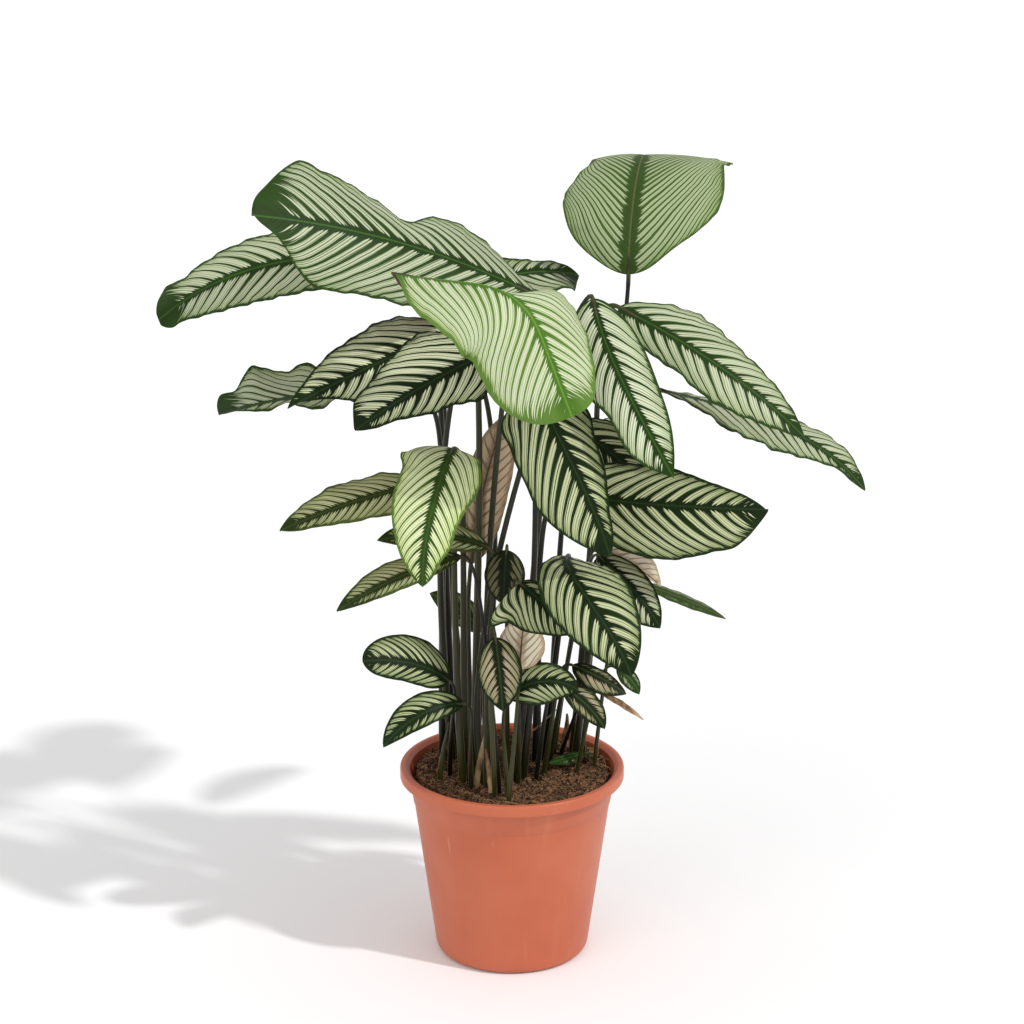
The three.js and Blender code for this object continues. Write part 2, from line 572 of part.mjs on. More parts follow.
/** The loop of a stalk at a point, square to its direction, and the n of that loop. */
function squareLoop(leaf, centre, along, n, radius) {
  const square = n.clone().addScaledVector(along, -n.dot(along)).normalize();
  const s = new THREE.Vector3().crossVectors(along, square).multiplyScalar(radius);
  const count = 2 * leaf.columns.length;
  return { square, loop: stalkLoop(count, centre, square.clone().multiplyScalar(radius), s) };
}

/** The loops of a stalk from its buried foot up to the blade. */
function stalkLoops(leaf) {
  const curve = stalkCurve(leaf);
  const loops = [];
  let { n } = bladeFrame(leaf, 0);
  const addLoop = (centre, along, radius) => {
    const { square, loop } = squareLoop(leaf, centre, along, n, radius);
    n = square;
    loops.unshift(loop);
  };
  for (let i = leaf.stalkRings; i >= 0; i -= 1) {
    const share = 1 - (1 - i / leaf.stalkRings) ** RING_CROWDING;
    const radius = between(leaf.stalkRadius, share);
    addLoop(curve.getPointAt(share), curve.getTangentAt(share), radius);
  }
  const bottom = new THREE.Vector3(...leaf.foot, SOIL_LEVEL - FOOT_DEPTH);
  addLoop(bottom, new THREE.Vector3(0, 0, 1), leaf.stalkRadius[0]);
  return loops;
}

/** Triangles over a stack of loops, the same way on both faces, with a cap at each end. */
function loft(loops) {
  const count = loops[0].length;
  const half = count / 2;
  const top = loops.length - 1;
  const at = (ring, i) => ring * count + (i % count);
  const index = [];
  for (let ring = 0; ring < top; ring += 1) {
    for (let i = 0; i < count; i += 1) {
      const [a, b] = [at(ring, i), at(ring, i + 1)];
      const [c, d] = [at(ring + 1, i), at(ring + 1, i + 1)];
      if (i < half) index.push(a, b, d, a, d, c);
      else index.push(a, b, c, b, d, c);
    }
  }
  for (let i = 0; i < half - 1; i += 1) {
    const [j, k] = [count - 1 - i, count - 2 - i];
    index.push(at(0, i), at(0, k), at(0, i + 1), at(0, i), at(0, j), at(0, k));
    index.push(at(top, i), at(top, i + 1), at(top, k), at(top, i), at(top, k), at(top, j));
  }
  return indexedGeometry(loops.flat().flatMap((p) => p.toArray()), index);
}

/** A leaf: stalk, rib and blade in one piece. */
function makeLeaf(leaf) {
  const shares = ringShares(leaf.bladeRings);
  const centres = ribPoints(leaf, shares);
  const blade = centres.map((centre, i) => bladeLoop(leaf, centre, shares[i]));
  return piece(`leaf_${leaf.name}`, loft([...stalkLoops(leaf), ...blade]), LEAF_MATERIAL);
}

// ---------------------------------------------------------------------------------------
// Shoots and dry sheaths
// ---------------------------------------------------------------------------------------

/** A tapered, pointed shoot that stands in the soil. */
function makeShoot({ name, foot, tip, radius, flat }) {
  const start = new THREE.Vector3(...foot, FOOT_TOP);
  const bottom = start.clone().setZ(SOIL_LEVEL - FOOT_DEPTH);
  const loopAt = (centre, thick) => {
    const n = new THREE.Vector3(0, flat * thick, 0);
    return stalkLoop(SHOOT_SIDES, centre, n, new THREE.Vector3(-thick, 0, 0));
  };
  const loops = SHOOT_SHARES.map((share) => {
    const centre = start.clone().lerp(new THREE.Vector3(...tip), share);
    return loopAt(centre, between(radius, share ** SHOOT_TAPER));
  });
  return piece(name, loft([loopAt(bottom, radius[0]), ...loops]), SHOOT_MATERIAL);
}

// ---------------------------------------------------------------------------------------
// Assembly
// ---------------------------------------------------------------------------------------

const plant = new THREE.Group();
plant.add(makePot());
plant.add(makeSoil());
LEAVES.forEach((leaf) => plant.add(makeLeaf(leaf)));
SHOOTS.forEach((shoot) => plant.add(makeShoot(shoot)));

export default plant;
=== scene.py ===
"""A potted calathea: striped leaves on slim stalks, in the soil of a plastic nursery pot.

Sizes are in millimetres and become metres in the meshes. The frame is the solid model's:
the origin is the centre of the pot's flat underside, +X is to the right and +Y points away.
"""

import logging
import math
from dataclasses import dataclass, field
from enum import Enum
from typing import Sequence

import bpy
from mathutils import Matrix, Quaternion, Vector, noise


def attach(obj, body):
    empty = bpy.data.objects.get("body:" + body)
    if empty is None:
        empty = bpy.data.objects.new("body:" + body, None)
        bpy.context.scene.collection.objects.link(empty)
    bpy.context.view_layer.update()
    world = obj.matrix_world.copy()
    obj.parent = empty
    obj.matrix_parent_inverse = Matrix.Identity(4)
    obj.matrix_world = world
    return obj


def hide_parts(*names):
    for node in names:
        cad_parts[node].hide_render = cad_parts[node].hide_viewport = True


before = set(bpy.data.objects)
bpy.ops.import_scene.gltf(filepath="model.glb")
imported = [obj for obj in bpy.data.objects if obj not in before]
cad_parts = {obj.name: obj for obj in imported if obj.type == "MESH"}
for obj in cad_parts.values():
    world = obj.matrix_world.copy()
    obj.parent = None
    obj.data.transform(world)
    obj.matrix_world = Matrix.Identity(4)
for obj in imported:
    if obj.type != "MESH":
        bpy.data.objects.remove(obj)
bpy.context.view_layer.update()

LOG = logging.getLogger("calathea")

MM = 0.001
BODY = "root"

Colour = tuple[float, float, float, float]
Pair = tuple[float, float]
Triple = tuple[float, float, float]
Mark = tuple[float, float, float]
Nudge = tuple[float, float, float, float]
Faces = list[list[int]]
Socket = bpy.types.NodeSocket
Value = Socket | float
Tint = Socket | Colour


# ---------------------------------------------------------------------------------------
# Small helpers
# ---------------------------------------------------------------------------------------


def between(pair: Pair, share: float) -> float:
    """The value at a share of the way between two numbers."""
    return pair[0] + (pair[1] - pair[0]) * share


def eased(value: float, low: float, high: float) -> float:
    """0 below low, 1 above high, and a smooth rise between them."""
    share = min(1.0, max(0.0, (value - low) / (high - low)))
    return share * share * (3 - 2 * share)


def direction(heading: float, pitch: float) -> Vector:
    """The unit vector with a heading and a pitch.

    Args:
        heading: Degrees; 0 is right, 90 is away, 180 is left, 270 is to the front.
        pitch: Degrees; up is plus.

    Returns:
        The vector.
    """
    turn, lift = math.radians(heading), math.radians(pitch)
    level = math.cos(lift)
    return Vector((level * math.cos(turn), level * math.sin(turn), math.sin(lift)))


def seed_of(name: str) -> int:
    """A fixed number for a name, for what varies from piece to piece."""
    return sum((place + 3) * ord(letter) for place, letter in enumerate(name))


def rgb(red: int, green: int, blue: int) -> Colour:
    """A colour as the shader wants it, from the 0 to 255 that a screen shows.

    Args:
        red: The red part.
        green: The green part.
        blue: The blue part.

    Returns:
        The three parts of the light, from 0 to 1, and 1 for solid.
    """
    shares = (part / 255 for part in (red, green, blue))
    linear = (s / 12.92 if s <= 0.04045 else ((s + 0.055) / 1.055) ** 2.4 for s in shares)
    return (*linear, 1.0)


def new_object(name: str, mesh: bpy.types.Mesh) -> bpy.types.Object:
    """A mesh object in the scene, at the origin.

    Args:
        name: Its name.
        mesh: Its mesh.

    Returns:
        The object.
    """
    made = bpy.data.objects.new(name, mesh)
    bpy.context.scene.collection.objects.link(made)
    return made


def circle(count: int) -> list[Pair]:
    """The corners of a round section: how far right and how far away, from -1 to 1."""
    turns = [2 * math.pi * i / count for i in range(count)]
    return [(math.cos(turn), math.sin(turn)) for turn in turns]


def mesh_of(
    name: str,
    points: Sequence[Vector],
    faces: Sequence[Sequence[int]],
    edges: Sequence[Sequence[int]] = (),
) -> bpy.types.Mesh:
    """A mesh from points in millimetres.

    Args:
        name: The mesh's name.
        points: The corners, in millimetres.
        faces: The corner numbers of each face.
        edges: The corner numbers of each loose edge.

    Returns:
        The mesh, in metres.
    """
    mesh = bpy.data.meshes.new(name)
    mesh.from_pydata([p * MM for p in points], list(edges), list(faces))
    mesh.update()
    return mesh


def store(mesh: bpy.types.Mesh, name: str, values: Sequence) -> None:
    """Keeps one number or vector for each point of a mesh.

    Args:
        mesh: The mesh.
        name: The attribute's name.
        values: A float or a triple for each point.
    """
    if isinstance(values[0], (int, float)):
        mesh.attributes.new(name, "FLOAT", "POINT").data.foreach_set("value", list(values))
        return
    flat = [part for value in values for part in value]
    mesh.attributes.new(name, "FLOAT_VECTOR", "POINT").data.foreach_set("vector", flat)


def dress(piece: bpy.types.Object, material: bpy.types.Material) -> None:
    """Gives a piece its one material."""
    piece.data.materials.clear()
    piece.data.materials.append(material)


def shade(piece: bpy.types.Object, crease: float) -> None:
    """Smooth shading, but sharp where faces meet at more than the crease angle in degrees."""
    piece.data.shade_smooth()
    piece.data.set_sharp_from_angle(angle=math.radians(crease))


def hand_over(piece: bpy.types.Object, slot: str, *nodes: str) -> None:
    """Makes a finished piece ride on the plant and hides the solids it replaces.

    Args:
        piece: The finished piece.
        slot: The record's material slot for the piece; not used.
        *nodes: The solids it replaces; they are hidden.
    """
    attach(piece, BODY)
    if nodes:
        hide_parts(*nodes)
    mesh = piece.data
    LOG.info("%s: %d points, %d faces", piece.name, len(mesh.vertices), len(mesh.polygons))


def sheet_faces(rows: int, around: int) -> Faces:
    """The faces of a stack of closed loops, with a cap of quads at each end.

    Args:
        rows: How many loops there are.
        around: How many points each loop has; the second half lies under the first.

    Returns:
        The faces.
    """
    faces = []
    for row in range(rows - 1):
        low, high = row * around, (row + 1) * around
        for i in range(around):
            j = (i + 1) % around
            faces.append([low + i, low + j, high + j, high + i])
    last = (rows - 1) * around
    for i in range(around // 2 - 1):
        j, k = around - 1 - i, around - 2 - i
        faces.append([i, j, k, i + 1])
        faces.append([last + i, last + i + 1, last + k, last + j])
    return faces


def turned_faces(rings: int, count: int) -> Faces:
    """The faces of a turned piece whose points are its two centres and then its rings.

    Args:
        rings: How many rings there are, from the first centre to the second.
        count: How many points each ring has.

    Returns:
        The faces; they look outward when the first centre is the lower one.
    """
    faces = []
    for i in range(count):
        j = (i + 1) % count
        faces.append([0, 2 + j, 2 + i])
        for ring in range(rings - 1):
            low, high = 2 + ring * count, 2 + (ring + 1) * count
            faces.append([low + i, low + j, high + j, high + i])
        last = 2 + (rings - 1) * count
        faces.append([1, last + i, last + j])
    return faces


# ---------------------------------------------------------------------------------------
# Node trees
# ---------------------------------------------------------------------------------------


class Shader:
    """One material's node tree, built with short calls."""

    MIX_SHARE, MIX_LOW, MIX_HIGH, MIX_COLOUR = 0, 6, 7, 2

    def __init__(self, name: str) -> None:
        """Starts an empty tree for a new material.

        Args:
            name: The material's name.
        """
        self.material = bpy.data.materials.new(name)
        self.material.use_nodes = True
        self.tree = self.material.node_tree
        self.tree.nodes.clear()
        self.place = self.add("ShaderNodeTexCoord").outputs["Object"]

    def add(self, kind: str, **settings: object) -> bpy.types.Node:
        """Adds a node.

        Args:
            kind: The node's kind.
            **settings: The node's options.

        Returns:
            The node.
        """
        node = self.tree.nodes.new(kind)
        for name, value in settings.items():
            setattr(node, name, value)
        return node

    def feed(self, socket: Socket, value: object) -> None:
        """Links a socket to another, or sets its number or colour.

        Args:
            socket: The input.
            value: What goes in: another node's output, a number or a colour.
        """
        if isinstance(value, Socket):
            self.tree.links.new(value, socket)
        else:
            socket.default_value = value

    def math(self, operation: str, *values: Value) -> Socket:
        """The result of a sum, product or other operation.

        Args:
            operation: The operation.
            *values: Up to three values.

        Returns:
            The result.
        """
        node = self.add("ShaderNodeMath", operation=operation)
        for socket, value in zip(node.inputs, values):
            self.feed(socket, value)
        return node.outputs[0]

    def times(self, *values: Value) -> Socket:
        """The product of two or more values.

        Args:
            *values: The values.

        Returns:
            The product.
        """
        product = values[0]
        for value in values[1:]:
            product = self.math("MULTIPLY", product, value)
        return product

    def between(self, share: Value, low: float, high: float) -> Socket:
        """The value at a share of the way between two numbers."""
        return self.math("MULTIPLY_ADD", share, high - low, low)

    def rise(self, value: Value, low: Value, high: Value) -> Socket:
        """0 below low, 1 above high, and a smooth rise between them.

        Args:
            value: What is measured.
            low: Where the rise begins.
            high: Where it ends.

        Returns:
            The share that it has risen.
        """
        node = self.add("ShaderNodeMapRange", interpolation_type="SMOOTHSTEP")
        for name, given in (("Value", value), ("From Min", low), ("From Max", high)):
            self.feed(node.inputs[name], given)
        return node.outputs["Result"]

    def fall(self, value: Value, low: Value, high: Value) -> Socket:
        """1 below low, 0 above high, and a smooth fall between them."""
        return self.math("SUBTRACT", 1.0, self.rise(value, low, high))

    def mix(self, share: Value, low: Tint, high: Tint) -> Socket:
        """A blend of two colours.

        Args:
            share: How much of the second colour shows.
            low: The colour at share 0.
            high: The colour at share 1.

        Returns:
            The blended colour.
        """
        node = self.add("ShaderNodeMix", data_type="RGBA")
        self.feed(node.inputs[self.MIX_SHARE], share)
        self.feed(node.inputs[self.MIX_LOW], low)
        self.feed(node.inputs[self.MIX_HIGH], high)
        return node.outputs[self.MIX_COLOUR]

    def split(self, vector: Socket) -> tuple[Socket, Socket, Socket]:
        """The parts of a vector.

        Args:
            vector: The vector.

        Returns:
            Its three parts.
        """
        node = self.add("ShaderNodeSeparateXYZ")
        self.feed(node.inputs[0], vector)
        return tuple(node.outputs)

    def vector(self, *parts: Value) -> Socket:
        """A vector from its parts.

        Args:
            *parts: The three parts.

        Returns:
            The vector.
        """
        node = self.add("ShaderNodeCombineXYZ")
        for socket, part in zip(node.inputs, parts):
            self.feed(socket, part)
        return node.outputs[0]

    def kept(self, name: str) -> bpy.types.Node:
        """What the mesh keeps under a name."""
        return self.add("ShaderNodeAttribute", attribute_name=name)

    def grain(self, scale: float, detail: float = 3, at: Socket | None = None) -> Socket:
        """Cloudy variation from 0 to 1.

        Args:
            scale: How many times it varies in a metre, or in a unit of at.
            detail: How many finer layers it has.
            at: Where it is read; the place on the piece if not given.

        Returns:
            The value.
        """
        node = self.add("ShaderNodeTexNoise")
        self.feed(node.inputs["Vector"], at or self.place)
        node.inputs["Scale"].default_value = scale
        node.inputs["Detail"].default_value = detail
        return node.outputs["Fac"]

    def stretched(self, x: float, y: float, z: float) -> Socket:
        """The place on the piece, scaled along each axis.

        Args:
            x: The scale to the right.
            y: The scale away from the viewer.
            z: The scale upward.

        Returns:
            The scaled place.
        """
        node = self.add("ShaderNodeMapping")
        self.feed(node.inputs["Vector"], self.place)
        node.inputs["Scale"].default_value = (x, y, z)
        return node.outputs[0]

    def chance(self, number: Value) -> Socket:
        """A value that looks random and is the same for the same number.

        Args:
            number: The number.

        Returns:
            The value, from 0 to 1.
        """
        node = self.add("ShaderNodeTexWhiteNoise", noise_dimensions="1D")
        self.feed(node.inputs["W"], number)
        return node.outputs["Value"]

    def finish(
        self, colour: Tint, roughness: Value, height: Value, lift: float, **fixed: float
    ) -> bpy.types.Material:
        """Closes the tree with the surface itself.

        Args:
            colour: The surface's colour.
            roughness: How matt it is.
            height: The relief, from 0 to 1.
            lift: The relief's height in millimetres.
            **fixed: Numbers for the shader's own sockets, named with _ for a space.

        Returns:
            The material.
        """
        bump = self.add("ShaderNodeBump")
        bump.inputs["Distance"].default_value = lift * MM
        self.feed(bump.inputs["Height"], height)
        surface = self.add("ShaderNodeBsdfPrincipled")
        self.feed(surface.inputs["Base Color"], colour)
        self.feed(surface.inputs["Roughness"], roughness)
        self.feed(surface.inputs["Normal"], bump.outputs["Normal"])
        for name, value in fixed.items():
            surface.inputs[name.replace("_", " ")].default_value = value
        out = self.add("ShaderNodeOutputMaterial")
        self.feed(out.inputs["Surface"], surface.outputs["BSDF"])
        return self.material


class Nodes:
    """One Geometry Nodes tree, built with short calls."""

    def __init__(self, name: str) -> None:
        """Starts a tree that takes a geometry in and gives one out.

        Args:
            name: The tree's name.
        """
        self.tree = bpy.data.node_groups.new(name, "GeometryNodeTree")
        for way in ("INPUT", "OUTPUT"):
            self.tree.interface.new_socket(
                "Geometry", in_out=way, socket_type="NodeSocketGeometry"
            )
        self.source = self.tree.nodes.new("NodeGroupInput")
        self.identifiers: dict[str, str] = {}

    def size(self, name: str, kind: str = "Float") -> Socket:
        """Adds a named input to the tree.

        Args:
            name: The input's name.
            kind: What it holds.

        Returns:
            Its value in the tree.
        """
        made = self.tree.interface.new_socket(
            name, in_out="INPUT", socket_type=f"NodeSocket{kind}"
        )
        self.identifiers[name] = made.identifier
        return self.source.outputs[name]

    def add(
        self, kind: str, feeds: dict[str | int, object] | None = None, **settings: object
    ) -> bpy.types.Node:
        """Adds a node.

        Args:
            kind: The node's kind.
            feeds: What goes into each input: another node's output, or a value.
            **settings: The node's options.

        Returns:
            The node.
        """
        node = self.tree.nodes.new(kind)
        for name, value in settings.items():
            setattr(node, name, value)
        for name, value in (feeds or {}).items():
            if isinstance(value, bpy.types.Node):
                value = value.outputs[0]
            if isinstance(value, Socket):
                self.tree.links.new(value, node.inputs[name])
            else:
                node.inputs[name].default_value = value
        return node

    def named(self, name: str, kind: str = "FLOAT") -> Socket:
        """What the geometry keeps under a name."""
        node = self.add("GeometryNodeInputNamedAttribute", {"Name": name}, data_type=kind)
        return node.outputs[0]

    def math(self, operation: str, *values: object) -> Socket:
        """The result of an operation on up to three numbers."""
        node = self.add("ShaderNodeMath", dict(enumerate(values)), operation=operation)
        return node.outputs[0]

    def random(self, low: object, high: object, seed: int, kind: str = "FLOAT") -> Socket:
        """A random number or vector, from a fixed seed.

        Args:
            low: The least that it may be.
            high: The most that it may be.
            seed: Sets which random draw it is.
            kind: The node's data type; each type has sockets of its own.

        Returns:
            The draw.
        """
        node = self.add("FunctionNodeRandomValue", {"Seed": seed}, data_type=kind)
        least, most, drawn = (0, 1, 0) if kind == "FLOAT_VECTOR" else (2, 3, 1)
        for place, value in ((least, low), (most, high)):
            if isinstance(value, Socket):
                self.tree.links.new(value, node.inputs[place])
            else:
                node.inputs[place].default_value = value
        return node.outputs[drawn]

    def close(self, last: bpy.types.Node) -> None:
        """Sends a node's geometry out of the tree."""
        out = self.tree.nodes.new("NodeGroupOutput")
        self.tree.links.new(last.outputs[0], out.inputs[0])

    def close_dressed(self, last: bpy.types.Node, finish: Socket) -> None:
        """Makes a node's geometry real, gives it its one finish and sends it out.

        Args:
            last: The node.
            finish: The finish.
        """
        real = self.add("GeometryNodeRealizeInstances", {"Geometry": last})
        dressed = {"Geometry": real, "Material": finish}
        self.close(self.add("GeometryNodeSetMaterial", dressed))

    def apply(self, piece: bpy.types.Object, sizes: dict[str, object]) -> None:
        """Runs the tree on a piece and keeps the result as its plain mesh.

        Args:
            piece: The piece whose mesh goes in, and that keeps what comes out.
            sizes: The value of each named input.
        """
        modifier = piece.modifiers.new(self.tree.name, "NODES")
        modifier.node_group = self.tree
        for name, value in sizes.items():
            modifier[self.identifiers[name]] = value
        graph = bpy.context.evaluated_depsgraph_get()
        made = bpy.data.meshes.new_from_object(
            piece.evaluated_get(graph), preserve_all_data_layers=True, depsgraph=graph
        )
        piece.modifiers.remove(modifier)
        made.name = piece.name
        piece.data = made


# ---------------------------------------------------------------------------------------
# Finishes
# ---------------------------------------------------------------------------------------


@dataclass(frozen=True)
class BladeFinish:
    """The striped face of a leaf: pale bands between dark veins, and a purplish underside.

    dark and deep are the green along the rib, and line that of the main veins further out.
    pale and fringe are the streaks, far from the edge and near it, and hair is the thin
    veins in them. rib is the light channel in the middle: the midrib's own lighter green,
    with a painted narrow highlight along it. rib_band and margin_band are the width in
    millimetres that stays dark along the rib and along the edge, and tip is the share of
    the length where the streaks end. A main vein comes every group of thin ones.
    main is half its width and wedge how far it widens at the rib, as shares of the thin
    veins' spacing. fine is how strong the thin ones are, and finger is how long the points
    are that the pale streaks begin with.

    The rest is the same for every look. Of the pairs, those that end in spread are the
    least and the most that a vein or streak has by chance, and the others are distances in
    millimetres between which a colour gives way to the next.
    """

    name: str
    dark: Colour = rgb(38, 66, 14)
    deep: Colour = rgb(20, 38, 4)
    line: Colour = rgb(40, 66, 18)
    pale: Colour = rgb(201, 207, 178)
    fringe: Colour = rgb(150, 168, 112)
    rib: Colour = rgb(62, 102, 36)
    under: Colour = rgb(104, 74, 74)
    # under_band is the underside beneath the pale streaks: their own paler colour, with painted
    # light shining through them.
    under_band: Colour = rgb(150, 122, 118)
    hair: Colour = rgb(108, 122, 78)
    rib_band: float = 3.0
    margin_band: float = 1.5
    group: float = 4
    main: float = 0.26
    wedge: float = 0.45
    fine: float = 1.0
    finger: float = 2.8
    tip: float = 0.9
    main_spread: Pair = (0.9, 1.5)
    wedge_spread: Pair = (0.35, 1.35)
    fine_spread: Pair = (0.07, 0.15)
    strength_spread: Pair = (0.45, 0.9)
    start_spread: Pair = (0.55, 1.45)
    end_spread: Pair = (0.4, 1.6)
    stop_spread: Pair = (-0.02, 0.05)
    wedge_power: float = 1.6
    main_softness: float = 0.16
    fine_softness: float = 0.14
    deep_to_line: Pair = (4.0, 16.0)
    fringe_to_pale: Pair = (1.0, 15.0)
    channel: Pair = (0.3, 1.2)
    rim: Pair = (0.3, 0.9)
    wobble: float = 0.45
    roughness: float = 0.5
    roughness_swing: float = 0.08
    relief: float = 0.35
    shine: float = 0.13

    def veins(self, shader: Shader, phase: Socket, across: Socket) -> tuple[Socket, Socket]:
        """The dark main veins, and the thin ones between them.

        Args:
            shader: The material's tree.
            phase: How many thin veins lie between the blade's base and here.
            across: 0 at the rib and 1 at the edge.

        Returns:
            How dark the main veins and the thin veins are here, from 0 to 1.
        """
        group = shader.math("DIVIDE", phase, self.group)
        number = shader.math("ROUND", group)
        off = shader.math("ABSOLUTE", shader.math("SUBTRACT", group, number))
        off = shader.times(off, self.group)
        chance = shader.chance(number)
        taper = shader.math("POWER", shader.math("SUBTRACT", 1.0, across), self.wedge_power)
        least, most = self.wedge_spread
        wedge = shader.between(chance, self.wedge * least, self.wedge * most)
        least, most = self.main_spread
        half = shader.between(chance, self.main * least, self.main * most)
        half = shader.math("ADD", half, shader.times(taper, wedge))
        main = shader.fall(off, half, shader.math("ADD", half, self.main_softness))
        fine = shader.math("ROUND", phase)
        near = shader.math("ABSOLUTE", shader.math("SUBTRACT", phase, fine))
        picked = shader.chance(shader.math("ADD", fine, 0.5))
        least, most = self.strength_spread
        strength = shader.between(picked, self.fine * least, self.fine * most)
        thin = shader.between(picked, *self.fine_spread)
        line = shader.fall(near, thin, shader.math("ADD", thin, self.fine_softness))
        return main, shader.times(line, strength)

    def pale_share(
        self, shader: Shader, phase: Socket, along: Socket, rib: Socket, edge: Socket
    ) -> Socket:
        """Where the pale streaks run: between the dark along the rib and the dark edge.

        Args:
            shader: The material's tree.
            phase: How many thin veins lie between the blade's base and here.
            along: Share of the length.
            rib: Distance from the rib in millimetres.
            edge: Distance from the edge in millimetres.

        Returns:
            How pale the blade is here, from 0 to 1, before the veins are drawn.
        """
        number = shader.math("FLOOR", phase)
        inside = shader.math("SUBTRACT", shader.math("SUBTRACT", phase, number), 0.5)
        aside = shader.times(shader.math("ABSOLUTE", inside), 2.0)
        chance = shader.chance(shader.math("ADD", number, 0.25))
        other = shader.chance(shader.math("ADD", number, 0.75))
        narrowing = shader.between(along, 1.0, 0.65)
        start = shader.between(chance, *self.start_spread)
        start = shader.times(start, narrowing, self.rib_band)
        start = shader.math("ADD", start, shader.times(aside, self.finger))
        inner = shader.rise(rib, start, shader.math("ADD", start, 1.2))
        least, most = self.end_spread
        end = shader.between(other, self.margin_band * least, self.margin_band * most)
        end = shader.math("ADD", end, shader.times(aside, self.margin_band))
        outer = shader.rise(edge, end, shader.math("ADD", end, 1.6))
        least, most = self.stop_spread
        stop = shader.between(chance, self.tip + least, self.tip + most)
        stop = shader.math("SUBTRACT", stop, shader.times(aside, 0.05))
        tip = shader.fall(along, stop, shader.math("ADD", stop, 0.012))
        return shader.times(inner, outer, tip)

    def material(self) -> bpy.types.Material:
        """The finish as a material.

        Returns:
            The material, which reads the marks that Leaf.marks gives.
        """
        shader = Shader(f"blade_{self.name}")
        phase, across, edge = shader.split(shader.kept("vein").outputs["Vector"])
        along, rib, face = shader.split(shader.kept("place").outputs["Vector"])
        wobble = shader.between(shader.grain(38, detail=2), -self.wobble, self.wobble)
        phase = shader.math("ADD", phase, wobble)
        main, fine = self.veins(shader, phase, across)
        pale = self.pale_share(shader, phase, along, rib, edge)
        cloud = shader.grain(60, detail=4)
        core = shader.mix(cloud, self.deep, self.dark)
        green = shader.mix(shader.rise(rib, *self.deep_to_line), core, self.line)
        streaks = shader.vector(shader.times(phase, 3.1), across, 0.0)
        streak = shader.grain(1, at=streaks)
        near_edge = shader.fall(edge, *self.fringe_to_pale)
        tinge = shader.math("MULTIPLY_ADD", near_edge, 0.5, shader.times(streak, 0.4))
        light = shader.mix(tinge, self.pale, self.fringe)
        light = shader.mix(fine, light, self.hair)
        shown = shader.times(pale, shader.math("SUBTRACT", 1.0, main))
        top = shader.mix(shown, green, light)
        # The midrib's channel in its own lighter green, with a painted narrow highlight along
        # it.
        top = shader.mix(shader.times(shader.fall(rib, *self.channel), 0.6), top, self.rib)
        top = shader.mix(shader.times(shader.fall(edge, *self.rim), 0.6), top, self.line)
        # Underside lighter beneath the pale streaks: their own paler colour, with painted light
        # shining through them.
        back = shader.mix(shader.times(shown, 0.75), self.under, self.under_band)
        back = shader.mix(shader.times(main, 0.3), back, self.deep)
        colour = shader.mix(face, back, top)
        ridge = shader.times(shader.math("SUBTRACT", 1.0, main), 0.6)
        relief = shader.math("ADD", ridge, shader.times(shader.grain(900), 0.25))
        swing = self.roughness_swing
        gloss = shader.between(cloud, self.roughness - swing, self.roughness + swing)
        return shader.finish(colour, gloss, relief, self.relief, Specular_IOR_Level=self.shine)


@dataclass(frozen=True)
class StalkFinish:
    """A fibrous stalk: green to brown, with papery edges on its sheath.

    The pairs are shares of the stalk's length between which a part of it begins or ends;
    past 1 it runs on under the blade's rib.
    """

    dark: Colour = rgb(10, 11, 4)
    olive: Colour = rgb(56, 58, 16)
    paper: Colour = rgb(158, 138, 102)
    collar: Colour = rgb(76, 74, 34)
    under: Colour = rgb(92, 74, 60)
    sheath_ends: Pair = (0.3, 0.45)
    collar_begins: Pair = (0.93, 0.98)
    collar_ends: Pair = (1.0, 1.06)
    rib_begins: Pair = (1.02, 1.12)
    paper_edge: Pair = (0.86, 0.97)
    roughness: float = 0.36
    relief: float = 0.4
    shine: float = 0.4

    def material(self) -> bpy.types.Material:
        """The finish as a material.

        Returns:
            The material, which reads how far along and how far round a point is, and the
            tone that its leaf has.
        """
        shader = Shader("stalk")
        along = shader.kept("along").outputs["Fac"]
        tone = shader.kept("tone").outputs["Fac"]
        east, north, _ = shader.split(shader.kept("around").outputs["Vector"])
        fibre = shader.grain(5, 4, shader.vector(east, north, shader.times(along, 0.7)))
        share = shader.math("ADD", tone, shader.between(fibre, -0.5, 0.5))
        share = shader.math("ADD", share, shader.times(shader.rise(along, 0.3, 1.0), 0.15))
        colour = shader.mix(shader.rise(share, 0.25, 1.2), self.dark, self.olive)
        side = shader.rise(shader.math("ABSOLUTE", east), *self.paper_edge)
        sheath = shader.times(side, shader.fall(along, *self.sheath_ends), 0.8)
        colour = shader.mix(sheath, colour, self.paper)
        collar = shader.rise(along, *self.collar_begins)
        collar = shader.times(collar, shader.fall(along, *self.collar_ends), 0.6)
        colour = shader.mix(collar, colour, self.collar)
        colour = shader.mix(shader.rise(along, *self.rib_begins), colour, self.under)
        relief = shader.grain(9, 3, shader.vector(east, north, shader.times(along, 0.5)))
        return shader.finish(
            colour, self.roughness, relief, self.relief, Specular_IOR_Level=self.shine
        )


@dataclass(frozen=True)
class DryFinish:
    """Papery dead leaf: straw with brown streaks along it."""

    name: str = "dry_leaf"
    light: Colour = rgb(186, 158, 116)
    brown: Colour = rgb(104, 72, 48)
    roughness: float = 0.8
    relief: float = 0.5
    shine: float = 0.3

    def material(self) -> bpy.types.Material:
        """The finish as a material.

        Returns:
            The material, which reads the place on the piece.
        """
        shader = Shader(self.name)
        streak = shader.grain(160, 5, shader.stretched(1, 1, 0.14))
        blotch = shader.grain(70, detail=4)
        share = shader.rise(shader.math("ADD", streak, blotch), 0.75, 1.25)
        colour = shader.mix(share, self.brown, self.light)
        return shader.finish(
            colour, self.roughness, streak, self.relief, Specular_IOR_Level=self.shine
        )


